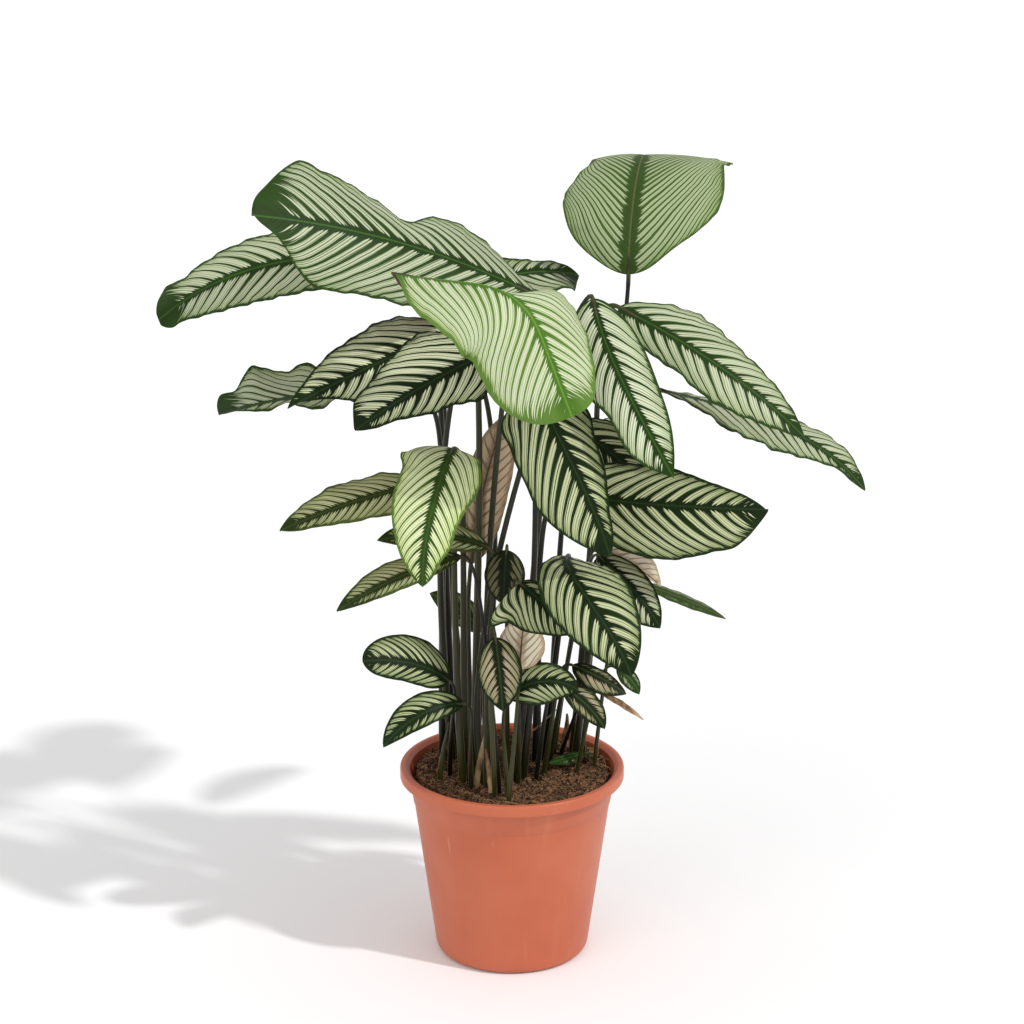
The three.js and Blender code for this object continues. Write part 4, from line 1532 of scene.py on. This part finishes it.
LEAVES = (
    Leaf("left_high", (-56, 48), (-70, 44, 560), (-96, 25, 657), 247, (174, 170), (14, -42),
         (-38, -44), (34, 38), L, curl=(30, 10), peak=0.5, point=0.6,
         nudges=((1, 0.95, 0.06, 14), (-1, 0.98, 0.05, 6))),
    Leaf("crown_left", (7, 2), (26, 8, 560), (30, 2, 633), 289, (195, 202), (30, 10),
         (-28, -62), (55, 64), L, CROWN, curl=(12, 30), keel=2, wave=(9, 2, 0.21),
         shoulder=0.8, peak=0.74, point=0.5,
         nudges=((1, 0.83, 0.04, 8), (1, 0.95, 0.05, -8), (1, 0.74, 0.05, -5),
                 (1, 0.62, 0.09, -8), (1, 0.48, 0.06, -24), (1, 0.32, 0.08, 8),
                 (1, 0.17, 0.08, 12), (-1, 0.93, 0.09, -23), (-1, 0.48, 0.14, 16))),
    Leaf("crown_back", (-40, 52), (-84, 68, 520), (-45, 40, 629), 129, (28, 36), (20, -20),
         (24, 34), (26, 34), M, CROWN, bend=10, curl=(25, 10), keel=-8, wave=(4, 2, 0.3),
         nudges=((-1, 0.55, 0.16, -8), (-1, 0.25, 0.1, 6), (1, 0.85, 0.08, 8))),
    Leaf("crown_front", (-36, -2), (-20, 20, 780), (-103, -102, 684), 232, (333, 343),
         (0, -68), (4, 56), (52, 66), L, BRIGHT, arrival=(185, 50), bend=110, curl=(45, 45),
         wave=(2, 2, 0.2), shoulder=0.65, peak=0.55, point=0.34, turn=(0.3, 0.72),
         nudges=((-1, 0.68, 0.13, 22), (1, 0.05, 0.07, -10), (1, 0.42, 0.1, 6),
                 (1, 0.85, 0.1, 4)),
         tuck=(-1, 0.32, 0.6, 84)),
    Leaf("front_right_high", (-27, -24), (-60, 24, 310), (71, -66, 652), 178, (285, 345),
         (-46, -60), (25, 70), (32, 46), L, LIGHT, curl=(20, 35), keel=-4, point=1,
         nudges=((1, 0.58, 0.18, -18), (-1, 0.55, 0.22, -4))),
    Leaf("right_high", (58, 48), (92, 20, 560), (96, -8, 629), 209, (322, 358), (-14, -46),
         (26, 36), (36, 29), L, curl=(25, 35),
         nudges=((-1, 0.28, 0.18, 17), (1, 0.4, 0.1, -4), (1, 0.6, 0.3, 4))),
    Leaf("far_right", (60, 32), (98, 40, 500), (135, 16, 545), 213, (352, 352), (-12, -54),
         (-6, 30), (30, 24), M, droop=2.2,
         nudges=((1, 0.34, 0.12, 10), (1, 0.55, 0.12, 8), (1, 0.84, 0.08, -5),
                 (-1, 0.8, 0.14, 10))),
    Leaf("upright_right", (66, 42), (86, 56, 460), (106, 44, 646), 231, (78, 84), (92, -60),
         (0, 0), (72, 78), L, GREY, curl=(45, 14), keel=-5, wave=(3, 2.5, 0.6), point=0.6,
         nudges=((-1, 0.62, 0.1, -20), (-1, 0.3, 0.16, 5), (-1, 0.13, 0.1, 6),
                 (1, 0.09, 0.08, -7), (1, 0.3, 0.14, 7), (1, 0.7, 0.08, 14))),
    Leaf("left_upper", (-57, 37), (-90, 26, 540), (-37, -24, 618), 186, (210, 199),
         (-12, -24), (-34, -44), (40, 31), L, DEEP, bend=12, curl=(35, 15), shoulder=1,
         nudges=((1, 0.34, 0.2, 14), (1, 0.66, 0.14, 5), (-1, 0.82, 0.2, -15))),
    Leaf("left_front_upper", (-24, 4), (-30, 26, 500), (-17, -62, 604), 146, (218, 187),
         (-12, -36), (-33, -45), (28, 46), L, DEEP, curl=(35, 20),
         nudges=((1, 0.26, 0.2, 15), (1, 0.9, 0.08, 9), (-1, 0.74, 0.16, -6),
                 (-1, 0.22, 0.12, 13))),
    Leaf("left_far", (-66, 40), (-66, 36, 500), (-94, 14, 541), 175, (188, 188), (8, -16),
         (0, -8), (22, 44), M, curl=(10, -30), wave=(5, 3.5, 0), peak=0.6, point=0.5,
         nudges=((1, 0.97, 0.05, 15), (1, 0.74, 0.14, 9), (-1, 0.85, 0.2, -9),
                 (-1, 0.22, 0.14, 7))),
    Leaf("centre_front", (2, -16), (38, -36, 440), (22, -76, 575), 168, (295, 360),
         (-44, -74), (28, 80), (27, 50), L, BOLD, curl=(20, 25),
         nudges=((1, 0.1, 0.1, 14), (-1, 0.22, 0.14, 12), (-1, 0.75, 0.15, -6),
                 (1, 0.45, 0.12, -4))),
    Leaf("right_mid", (11, -14), (32, -10, 420), (55, -32, 459), 180, (336, 358), (0, 0),
         (51, 54), (42, 48), L, BOLD, curl=(15, 20), keel=-4,
         nudges=((-1, 0.7, 0.25, -10), (-1, 0.14, 0.1, 8), (1, 0.86, 0.1, 8),
                 (1, 0.6, 0.25, 3))),
    Leaf("right_mid_back", (22, 19), (30, 26, 470), (51, 6, 512), 98, (347, 347),
         (-18, -60), (44, 44), (30, 30), M, BOLD),
    Leaf("left_bright", (-45, -10), (-44, -2, 480), (-52, -72, 516), 142, (258, 225),
         (15, -92), (-11, -40), (42, 36), L, LIME, curl=(20, 25), shoulder=0.45, peak=0.42,
         droop=0.5,
         nudges=((1, 0.1, 0.12, 19), (1, 0.45, 0.2, 3), (-1, 0.55, 0.25, -14),
                 (-1, 0.03, 0.05, 8), (-1, 0.84, 0.08, -4))),
    Leaf("left_mid", (-46, -22), (-62, -16, 420), (-75, -34, 473), 144, (205, 183),
         (-4, -25), (-32, -40), (26, 24), M, FRESH, wave=(2.5, 2.5, 0.2),
         nudges=((-1, 0.65, 0.25, -8), (1, 0.82, 0.12, 4), (1, 0.45, 0.25, 5),
                 (-1, 0.1, 0.1, 5))),
    Leaf("left_tucked", (-24, -38), (-26, -40, 360), (-21, -28, 408), 108, (206, 180),
         (30, -14), (-46, -50), (14, 18), S, FRESH),
    Leaf("left_low", (-12, -46), (-26, -42, 360), (-46, -34, 402), 128, (212, 187),
         (-2, -34), (-36, -48), (12, 16), S, FRESH, nudges=((1, 0.6, 0.3, 5),)),
    Leaf("upright_mid", (-38, 18), (-42, 16, 320), (-38, 10, 379), 152, (340, 345),
         (84, 70), (-60, -75), (30, 26), M, YOUNG, curl=(10, 10), keel=-8,
         nudges=((-1, 0.45, 0.3, -6), (1, 0.5, 0.3, -8))),
    Leaf("right_arching", (30, 33), (50, 10, 380), (50, -58, 410), 166, (262, 342),
         (12, -70), (-8, 66), (40, 36), L, BOLD, curl=(25, 25)),
    Leaf("right_low", (36, 24), (66, 4, 370), (79, -28, 400), 93, (300, 354), (-12, -64),
         (27, 55), (20, 28), S, DEEP),
    Leaf("right_pale", (40, 44), (64, 26, 370), (83, 4, 395), 67, (5, 5), (-24, -44),
         (-139, -135), (4, 20), S, PALE),
    Leaf("right_thin", (78, 14), (92, 22, 330), (118, 26, 355), 88, (355, 355), (-16, -28),
         (10, 10), (14, 10), T, GREY),
    Leaf("mid_front", (6, -22), (8, -30, 380), (7, -68, 388), 70, (322, 338), (-26, -44),
         (26, 56), (16, 36), S, BOLD, curl=(15, 35), shoulder=0.35,
         nudges=((1, 0.06, 0.13, 25), (1, 0.7, 0.3, -9))),
    Leaf("mid_dark", (-4, -4), (-6, -20, 400), (-5, -28, 406), 51, (262, 262), (-50, -86),
         (-5, -5), (19, 19), S, DARK),
    Leaf("mid_pale", (-3, -76), (4, -58, 250), (7, -46, 296), 57, (300, 300), (84, 78),
         (-30, -30), (22, 22), S, PALE),
    Leaf("mid_striped", (-16, -58), (-24, -54, 370), (-15, -66, 335), 68, (285, 300),
         (-62, -86), (14, 30), (21, 21), S, YOUNG),
    Leaf("mid_low", (-4, -54), (-8, -50, 230), (-3, -40, 266), 76, (335, 390), (55, -45),
         (69, 77), (18, 22), S, BOLD),
    Leaf("base_right", (30, -8), (44, -14, 270), (56, -10, 287), 57, (340, 352), (-14, -36),
         (35, 39), (10, 16), S, YOUNG),
    Leaf("base_pink", (23, -17), (34, -26, 270), (47, -32, 274), 56, (340, 354), (-25, -62),
         (47, 58), (14, 12), S, YOUNG),
    Leaf("base_curled", (62, 4), (78, 0, 268), (97, -12, 285), 33, (343, 343), (-25, -70),
         (38, 38), (9, 9), T),
    Leaf("base_left_high", (-58, -6), (-57, -30, 255), (-57, -42, 283), 93, (213, 190),
         (44, -4), (-63, -56), (26, 28), S, BOLD, point=0.5, nudges=((-1, 0.5, 0.4, -8),)),
    Leaf("base_left_low", (-38, -38), (-40, -44, 236), (-44, -60, 268), 92, (218, 189),
         (16, -56), (-49, -49), (12, 20), S, BOLD),
    Leaf("back_grey", (-32, 66), (-30, 68, 250), (-28, 66, 292), 63, (165, 168), (52, 16),
         (-66, -60), (14, 14), S, GREY),
    Leaf("on_soil", (73, 27), (77, 31, 184), (69, 24, 185), 42, (214, 216), (0, 0),
         (-25, -25), (7, 7), T, bend=3),
    Leaf("withered", (47, 40), (66, 6, 250), (80, -12, 262), 50, (350, 350), (-20, -42),
         (30, 30), (3, 4), T, DRY),
    Leaf("strip", (-3, 15), (-2, 15, 190), (2, 14, 196), 58, (350, 350), (45, 45), (0, 0),
         (2, 3), T, DRY, bend=5),
    Leaf("behind_left", (-26, 57), (-4, 68, 500), (-44, 78, 560), 150, (125, 110),
         (20, -35), (0, 0), (32, 32), M),
    Leaf("behind_mid", (24, 56), (26, 74, 500), (30, 90, 550), 150, (80, 70), (30, -50),
         (0, 0), (42, 42), M),
    Leaf("behind_right", (36, 60), (46, 74, 400), (64, 92, 462), 150, (60, 40), (25, -35),
         (0, 0), (30, 30), M),
)


# ---------------------------------------------------------------------------------------
# Shoots and dry sheaths
# ---------------------------------------------------------------------------------------


@dataclass
class Shoot:
    """A young rolled leaf, a cut stub or the dry sheath of an old leaf.

    radius is at the foot and at the tip, flat is the depth as a share of the width. The
    section is folded by fold and thins towards the tip by thinning, and what isn't flat
    sways by sway.
    """

    name: str
    foot: Pair
    tip: Triple
    radius: Pair
    flat: float
    dry: bool
    rings: int = 26
    sides: int = 14
    thinning: float = 1.5
    fold: float = 0.22
    fold_scale: float = 1.7
    fold_length: float = 6
    sway: float = 1.6
    tone: float = 0.9
    crease: float = 60

    def loop(self, share: float) -> list[Vector]:
        """The points round the shoot.

        Args:
            share: Share of its length; less than nothing is its end in the soil.

        Returns:
            The points.
        """
        start, tip = Vector((*self.foot, STALK.top)), Vector(self.tip)
        buried = Vector((*self.foot, STALK.bottom))
        centre = start.lerp(tip, share) if share >= 0 else buried
        thick = between(self.radius, max(share, 0) ** self.thinning)
        seed = seed_of(self.name)
        points = []
        for east, north in circle(self.sides):
            spot = Vector((east, north, share * self.fold_length + seed))
            fold = 1 + self.fold * noise.noise(spot * self.fold_scale)
            across, deep = east * thick * fold, north * thick * self.flat * fold
            sway = self.sway * self.flat * math.sin(share * 3 + seed) * max(share, 0)
            points.append(centre + Vector((-across + sway, deep, 0)))
        return points

    def build(self, finishes: Finishes, dry: bpy.types.Material) -> bpy.types.Object:
        """Makes the shoot and hands it over.

        Args:
            finishes: The leaves' materials.
            dry: The dry sheaths' material.

        Returns:
            The finished piece.
        """
        shares = [-1.0] + [i / self.rings for i in range(self.rings + 1)]
        points = [point for share in shares for point in self.loop(share)]
        faces = [face[::-1] for face in sheet_faces(len(shares), self.sides)]
        mesh = mesh_of(f"grown_{self.name}", points, faces)
        store(mesh, "along", [max(share, 0.0) for share in shares for _ in range(self.sides)])
        ring = [(east, north, 0.0) for east, north in circle(self.sides)]
        store(mesh, "around", ring * len(shares))
        store(mesh, "tone", [self.tone] * len(points))
        piece = new_object(f"grown_{self.name}", mesh)
        dress(piece, dry if self.dry else finishes.stalk)
        shade(piece, self.crease)
        hand_over(piece, "dry_shoot", self.name)
        return piece


SHOOTS = (
    Shoot("shoot_spike", (-67, -16), (-60, -14, 232), (3, 0.7), 1, False),
    Shoot("shoot_stub", (50, 58), (52, 58, 212), (3.4, 1), 1, True),
    Shoot("sheath_dry_left", (-33, -33), (-24, -30, 232), (3, 0.8), 0.4, True),
    Shoot("sheath_dry_right", (-19, -48), (-25, -46, 218), (3, 0.8), 0.4, True),
)


# ---------------------------------------------------------------------------------------
# Pot and soil
# ---------------------------------------------------------------------------------------


@dataclass
class Pot:
    """The tapered plastic pot with a turned-down rim and drain slots."""

    height: float = 185
    segments: int = 176
    rim_radius: float = 105
    rim_drop: float = 11
    rim_round: float = 3
    mouth_radius: float = 99.5
    base_radius: float = 71.8
    base_round: float = 9
    wall_top_radius: float = 97.5
    wall: float = 1.6
    floor: float = 2.4
    step_below_rim: float = 35
    step_depth: float = 0.7
    slot_count: int = 8
    slot_size: Triple = (14, 3.5, 10)
    slot_radius: float = 52
    middle: float = 70
    lip_round: Pair = (0.4, 0.6)
    mouth_round: float = 0.8
    crease: float = 32

    def wall_radius(self, z: float) -> float:
        """The wall's outer radius, with the small step under the rim.

        Args:
            z: Height.

        Returns:
            The radius.
        """
        taper = (self.wall_top_radius - self.base_radius) / self.height
        step = self.step_depth if z > self.height - self.step_below_rim else 0
        return self.base_radius + taper * z - self.step_depth + step

    def curve(self, start: Pair, pull: Pair, end: Pair, steps: int = 7) -> list[Pair]:
        """Points along a rounded corner, without its first point.

        Args:
            start: Where it begins.
            pull: The sharp corner it rounds.
            end: Where it ends.
            steps: How many points it has.

        Returns:
            The points.
        """
        points = []
        for i in range(1, steps + 1):
            t = i / steps
            s = 1 - t
            parts = zip(start, pull, end)
            points.append(tuple(s * s * a + 2 * s * t * b + t * t * c for a, b, c in parts))
        return points

    def profile(self) -> list[Pair]:
        """Half the pot's cross-section, from the axis under the floor to the axis above it.

        Returns:
            The radius and the height of each ring.
        """
        top, wall = self.height, self.wall
        skirt, step, under = top - self.rim_drop, top - self.step_below_rim, top - 2 * wall
        flat = self.wall_radius(0) - self.base_round
        low = (self.wall_radius(self.base_round), self.base_round)
        rim, mouth = self.rim_radius, self.mouth_radius
        inner, centre = rim - wall, rim - wall / 2
        low_inside, low_outside = (skirt + rise for rise in self.lip_round)
        lead = mouth + self.mouth_round
        corner = rim - self.rim_round
        return [
            (flat * 0.5, 0),
            (flat, 0),
            *self.curve((flat, 0), (self.wall_radius(0), 0), low),
            (self.wall_radius(self.middle), self.middle),
            (self.wall_radius(step), step),
            (self.wall_radius(step + 1), step + 1),
            (self.wall_radius(top), under),
            (rim - 2 * wall, under),
            (inner, under - wall),
            (inner, low_inside),
            *self.curve((inner, low_inside), (inner, skirt), (centre, skirt), 3),
            *self.curve((centre, skirt), (rim, skirt), (rim, low_outside), 3),
            (rim, top - self.rim_round),
            *self.curve((rim, top - self.rim_round), (rim, top), (corner, top)),
            (lead, top),
            *self.curve((lead, top), (mouth, top), (self.wall_radius(top) - wall, under), 5),
            (self.wall_radius(step) - wall, step),
            (self.wall_radius(self.base_round) - wall, self.base_round),
            (flat, self.floor),
            (flat * 0.5, self.floor),
        ]

    def lathe(self) -> bpy.types.Mesh:
        """The pot before its slots are cut.

        Returns:
            The mesh.
        """
        profile, ring = self.profile(), circle(self.segments)
        points = [Vector((0, 0, 0)), Vector((0, 0, self.floor))]
        for radius, z in profile:
            points += [Vector((radius * east, radius * north, z)) for east, north in ring]
        return mesh_of("pot_moulded", points, turned_faces(len(profile), self.segments))

    def slot_cutter(self) -> Nodes:
        """The tree that cuts a ring of slots through the floor.

        Returns:
            The tree; its inputs are the slots' number, their ring's radius, the size of
            one and the finish.
        """
        nodes = Nodes("drain_slots")
        count, radius = nodes.size("Count", "Int"), nodes.size("Radius")
        box, finish = nodes.size("Slot", "Vector"), nodes.size("Finish", "Material")
        ring = nodes.add("GeometryNodeMeshCircle", {"Vertices": count, "Radius": radius})
        slot = nodes.add("GeometryNodeMeshCube", {"Size": box})
        number = nodes.add("GeometryNodeInputIndex").outputs[0]
        turn = nodes.math("DIVIDE", nodes.math("MULTIPLY", number, 2 * math.pi), count)
        turned = nodes.add("ShaderNodeCombineXYZ", {"Z": turn})
        placed = nodes.add(
            "GeometryNodeInstanceOnPoints",
            {"Points": ring, "Instance": slot, "Rotation": turned},
        )
        half = nodes.add("ShaderNodeCombineXYZ", {"Z": nodes.math("DIVIDE", math.pi, count)})
        offset = nodes.add("GeometryNodeTransform", {"Geometry": placed, "Rotation": half})
        cutter = nodes.add("GeometryNodeRealizeInstances", {"Geometry": offset})
        moulded = nodes.source.outputs[0]
        cut = nodes.add("GeometryNodeMeshBoolean", {"Mesh 1": moulded}, solver="EXACT")
        nodes.tree.links.new(cutter.outputs[0], cut.inputs["Mesh 2"])
        nodes.close_dressed(cut, finish)
        return nodes

    def build(self) -> bpy.types.Object:
        """Makes the pot and hands it over.

        Returns:
            The finished piece.
        """
        piece = new_object("pot_moulded", self.lathe())
        sizes = {
            "Count": self.slot_count,
            "Radius": self.slot_radius * MM,
            "Slot": [side * MM for side in self.slot_size],
            "Finish": PotFinish().material(),
        }
        self.slot_cutter().apply(piece, sizes)
        shade(piece, self.crease)
        hand_over(piece, "pot_plastic", "pot")
        return piece


@dataclass
class Soil:
    """The soil that fills the pot to just under the rim.

    waves are the long swells of its top, the same as the solid's: each has its share of
    relief, and the pitch and the phase of both its ways. lumps are the fine ones: share of
    lump, and how many lie in a millimetre. bank is how far the soil rises to the wall, and
    banked are the shares of the radius between which it does.
    """

    pot: Pot
    level: float = 175
    relief: float = 2.2
    lump: float = 3.2
    bank: float = 5
    banked: Pair = (0.72, 1.0)
    rings: int = 64
    segments: int = 160
    shoulder: float = 11
    clearance: float = 0.8
    waves: tuple[tuple[float, Pair, Pair], ...] = (
        (0.7, (0.045, 1.3), (0.052, 1.17)),
        (0.3, (0.16, -0.9), (0.14, 2.1)),
    )
    lumps: tuple[Pair, ...] = ((1, 0.085), (0.55, 0.21), (0.3, 0.55))
    layer: float = 7
    wall_levels: Triple = (150, 100, 50)
    crease: float = 80

    def radius(self, z: float) -> float:
        """The soil's radius, a little inside the pot's wall.

        Args:
            z: Height.

        Returns:
            The radius.
        """
        pot = self.pot
        wall = pot.wall_radius(min(z, pot.height - pot.step_below_rim))
        return wall - pot.wall - self.clearance

    def height(self, x: float, y: float) -> float:
        """Height of the lumpy top.

        Args:
            x: How far right of the pot's middle.
            y: How far behind it.

        Returns:
            The height.
        """
        broad = sum(
            share * math.sin(wide[0] * x + wide[1]) * math.sin(deep[0] * y + deep[1])
            for share, wide, deep in self.waves
        )
        spot = Vector((x, y, self.layer))
        lumps = sum(share * noise.noise(spot * pitch) for share, pitch in self.lumps)
        out = eased(math.hypot(x, y) / self.radius(self.level), *self.banked)
        return self.level + self.relief * broad + self.lump * lumps + self.bank * out

    def bed(self) -> bpy.types.Mesh:
        """The soil as a closed block with a finely lumpy top.

        Returns:
            The mesh.
        """
        widest, bottom = self.radius(self.level), self.pot.floor + self.clearance
        rings = [(widest * (i + 1) / self.rings, None) for i in range(self.rings)]
        rings += [(self.radius(z), z) for z in (*self.wall_levels, self.shoulder)]
        rings.append((self.pot.base_radius - self.shoulder, bottom))
        points = [Vector((0, 0, self.height(0, 0))), Vector((0, 0, bottom))]
        for radius, z in rings:
            for east, north in circle(self.segments):
                x, y = radius * east, radius * north
                points.append(Vector((x, y, self.height(x, y) if z is None else z)))
        faces = turned_faces(len(rings), self.segments)
        downward = [face[:1] + face[:0:-1] for face in faces]
        return mesh_of("soil_bed", points, downward)

    def build(self) -> bpy.types.Object:
        """Makes the soil and hands it over.

        Returns:
            The finished piece.
        """
        piece = new_object("soil_bed", self.bed())
        dress(piece, SoilFinish().material())
        shade(piece, self.crease)
        hand_over(piece, "soil", "soil")
        return piece


class Crumb(Enum):
    """What lies loose on the soil."""

    CRUMB = "soil_crumbs"
    BARK = "bark_chips"
    FIBRE = "root_fibres"


@dataclass
class Litter:
    """One kind of loose litter, scattered over the soil's top.

    density is how many lie on a square metre. smallest and largest are the sizes in
    millimetres. Crumbs lie at any angle; chips and fibres lie nearly flat, up to tilt in
    radians. Each is roughened by rough metres, with rough_scale as its grain.
    """

    kind: Crumb
    density: float
    smallest: float
    largest: float
    seed: int
    finish: SoilFinish | DryFinish = field(default_factory=SoilFinish)
    tilt: float = 0.35
    rough: float = 0.0016
    rough_scale: float = 260
    turn_seed: int = 5
    size_seed: int = 9

    def shape(self, nodes: Nodes) -> bpy.types.Node:
        """One crumb, chip or fibre, about a millimetre in size.

        Args:
            nodes: The tree that it is made in.

        Returns:
            The node that makes it.
        """
        if self.kind is Crumb.CRUMB:
            ball = {"Radius": 0.5 * MM, "Subdivisions": 1}
            return nodes.add("GeometryNodeMeshIcoSphere", ball)
        if self.kind is Crumb.BARK:
            size = (2.2 * MM, 0.9 * MM, 0.3 * MM)
            chip = {"Size": size, "Vertices X": 4, "Vertices Y": 3, "Vertices Z": 2}
            return nodes.add("GeometryNodeMeshCube", chip)
        arc = nodes.add(
            "GeometryNodeCurveQuadraticBezier",
            {
                "Resolution": 6,
                "Start": (-2 * MM, 0, 0),
                "Middle": (0.2 * MM, 1.3 * MM, 0.5 * MM),
                "End": (2 * MM, -0.3 * MM, 0),
            },
        )
        section = {"Resolution": 3, "Radius": 0.05 * MM}
        ring = nodes.add("GeometryNodeCurvePrimitiveCircle", section)
        fibre = {"Curve": arc, "Profile Curve": ring, "Fill Caps": True}
        return nodes.add("GeometryNodeCurveToMesh", fibre)

    def tree(self) -> Nodes:
        """The tree that scatters the shape over a surface where it faces up.

        Returns:
            The tree; its inputs are the density, the seed, both sizes and the finish.
        """
        nodes = Nodes(self.kind.value)
        density, seed = nodes.size("Density"), nodes.size("Seed", "Int")
        low, high = nodes.size("Smallest"), nodes.size("Largest")
        finish = nodes.size("Finish", "Material")
        normal = nodes.add("GeometryNodeInputNormal").outputs[0]
        upward = nodes.add("ShaderNodeSeparateXYZ", {0: normal}).outputs["Z"]
        facing = nodes.math("GREATER_THAN", upward, 0.5)
        surface = {"Mesh": nodes.source.outputs[0], "Selection": facing}
        points = nodes.add(
            "GeometryNodeDistributePointsOnFaces", {**surface, "Density": density, "Seed": seed}
        )
        tilt = math.pi if self.kind is Crumb.CRUMB else self.tilt
        ends = (-tilt, -tilt, -math.pi), (tilt, tilt, math.pi)
        turn = nodes.random(*ends, self.turn_seed, "FLOAT_VECTOR")
        scale = nodes.random(low, high, self.size_seed)
        placed = nodes.add(
            "GeometryNodeInstanceOnPoints",
            {"Points": points, "Instance": self.shape(nodes), "Rotation": turn, "Scale": scale},
        )
        real = nodes.add("GeometryNodeRealizeInstances", {"Geometry": placed})
        spot = nodes.add("GeometryNodeInputPosition").outputs[0]
        grain = nodes.add("ShaderNodeTexNoise", {"Vector": spot, "Scale": self.rough_scale})
        swing = {0: grain.outputs["Color"], 1: (0.5, 0.5, 0.5)}
        away = nodes.add("ShaderNodeVectorMath", swing, operation="SUBTRACT")
        shift = nodes.add(
            "ShaderNodeVectorMath", {0: away, "Scale": self.rough}, operation="SCALE"
        )
        bent = nodes.add("GeometryNodeSetPosition", {"Geometry": real, "Offset": shift})
        nodes.close_dressed(bent, finish)
        return nodes

    def build(self, bed: bpy.types.Object) -> bpy.types.Object:
        """Scatters the litter over the soil and hands it over.

        Args:
            bed: The soil.

        Returns:
            The finished piece.
        """
        piece = new_object(self.kind.value, bed.data.copy())
        sizes = {
            "Density": self.density,
            "Seed": self.seed,
            "Smallest": self.smallest,
            "Largest": self.largest,
            "Finish": self.finish.material(),
        }
        self.tree().apply(piece, sizes)
        hand_over(piece, "soil")
        return piece


CRUMBS = SoilFinish("crumbs", brown=rgb(104, 76, 52))
BARK = DryFinish("bark", rgb(150, 108, 66), rgb(74, 50, 34))
ROOTS = DryFinish("roots", rgb(196, 158, 104), rgb(132, 96, 60))

LITTER = (
    Litter(Crumb.CRUMB, 62000, 1.2, 4.6, 3, CRUMBS, rough_scale=900),
    Litter(Crumb.BARK, 5200, 1.4, 4.2, 7, BARK),
    Litter(Crumb.FIBRE, 7000, 1.5, 5.2, 11, ROOTS),
)


# ---------------------------------------------------------------------------------------
# Studio
# ---------------------------------------------------------------------------------------


@dataclass
class Studio:
    """A plain pale floor, soft light and the camera at the photograph's angle.

    Each light has a name, the way it comes from, its angle in degrees and its power.
    """

    camera_place: Triple = (0, -3.05, 1.43)
    camera_tilt: float = 71.9
    lens: float = 123.05
    sensor: float = 36
    floor_size: float = 24
    floor_gap: float = 0.2
    surround: float = 0.68
    lamp_distance: float = 3
    lights: tuple[tuple[str, Triple, float, float], ...] = (
        ("key", (0.59, -0.38, 0.71), 2.6, 1.55),
        ("front", (-0.45, -0.75, 0.5), 50, 0.6),
    )

    def floor(self) -> None:
        """The floor, just under the pot."""
        half = self.floor_size / 2 / MM
        sides = ((-half, -half), (half, -half), (half, half), (-half, half))
        corners = [Vector((x, y, -self.floor_gap)) for x, y in sides]
        piece = new_object("studio_floor", mesh_of("studio_floor", corners, [[0, 1, 2, 3]]))
        shader = Shader("studio_floor")
        dress(piece, shader.finish(rgb(250, 250, 250), 0.9, shader.grain(3), 0.0))

    def world(self) -> None:
        """Even pale light from all round."""
        world = bpy.data.worlds.new("studio")
        world.use_nodes = True
        back = world.node_tree.nodes["Background"]
        back.inputs["Color"].default_value = (1, 1, 1, 1)
        back.inputs["Strength"].default_value = self.surround
        bpy.context.scene.world = world

    def light(self, name: str, way: Triple, spread: float, power: float) -> None:
        """An even light from one way.

        Args:
            name: The light's name.
            way: The way it comes from.
            spread: Its angle in degrees; a wide one makes soft shadows.
            power: How strong it is.
        """
        light = bpy.data.lights.new(name, "SUN")
        light.energy, light.angle = power, math.radians(spread)
        lamp = bpy.data.objects.new(name, light)
        lamp.location = Vector(way) * self.lamp_distance
        lamp.rotation_euler = Vector(way).to_track_quat("Z", "Y").to_euler()
        bpy.context.scene.collection.objects.link(lamp)

    def build(self) -> None:
        """Sets up the studio."""
        self.floor()
        self.world()
        for light in self.lights:
            self.light(*light)
        camera = bpy.data.cameras.new("camera")
        camera.lens, camera.sensor_width = self.lens, self.sensor
        viewer = bpy.data.objects.new("camera", camera)
        viewer.location = self.camera_place
        viewer.rotation_euler = (math.radians(self.camera_tilt), 0, 0)
        bpy.context.scene.collection.objects.link(viewer)
        bpy.context.scene.camera = viewer
        bpy.context.scene.view_settings.view_transform = "Standard"


def main() -> None:
    """Builds the plant, its pot and the studio."""
    logging.basicConfig(level=logging.INFO, format="%(name)s: %(message)s")
    Studio().build()
    pot = Pot()
    pot.build()
    bed = Soil(pot).build()
    for litter in LITTER:
        litter.build(bed)
    finishes, sweep = Finishes(), StalkSweep()
    for leaf in LEAVES:
        leaf.build(sweep, finishes)
    dry = DryFinish("dry_sheath").material()
    for shoot in SHOOTS:
        shoot.build(finishes, dry)
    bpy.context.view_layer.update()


if __name__ == "__main__":
    main()
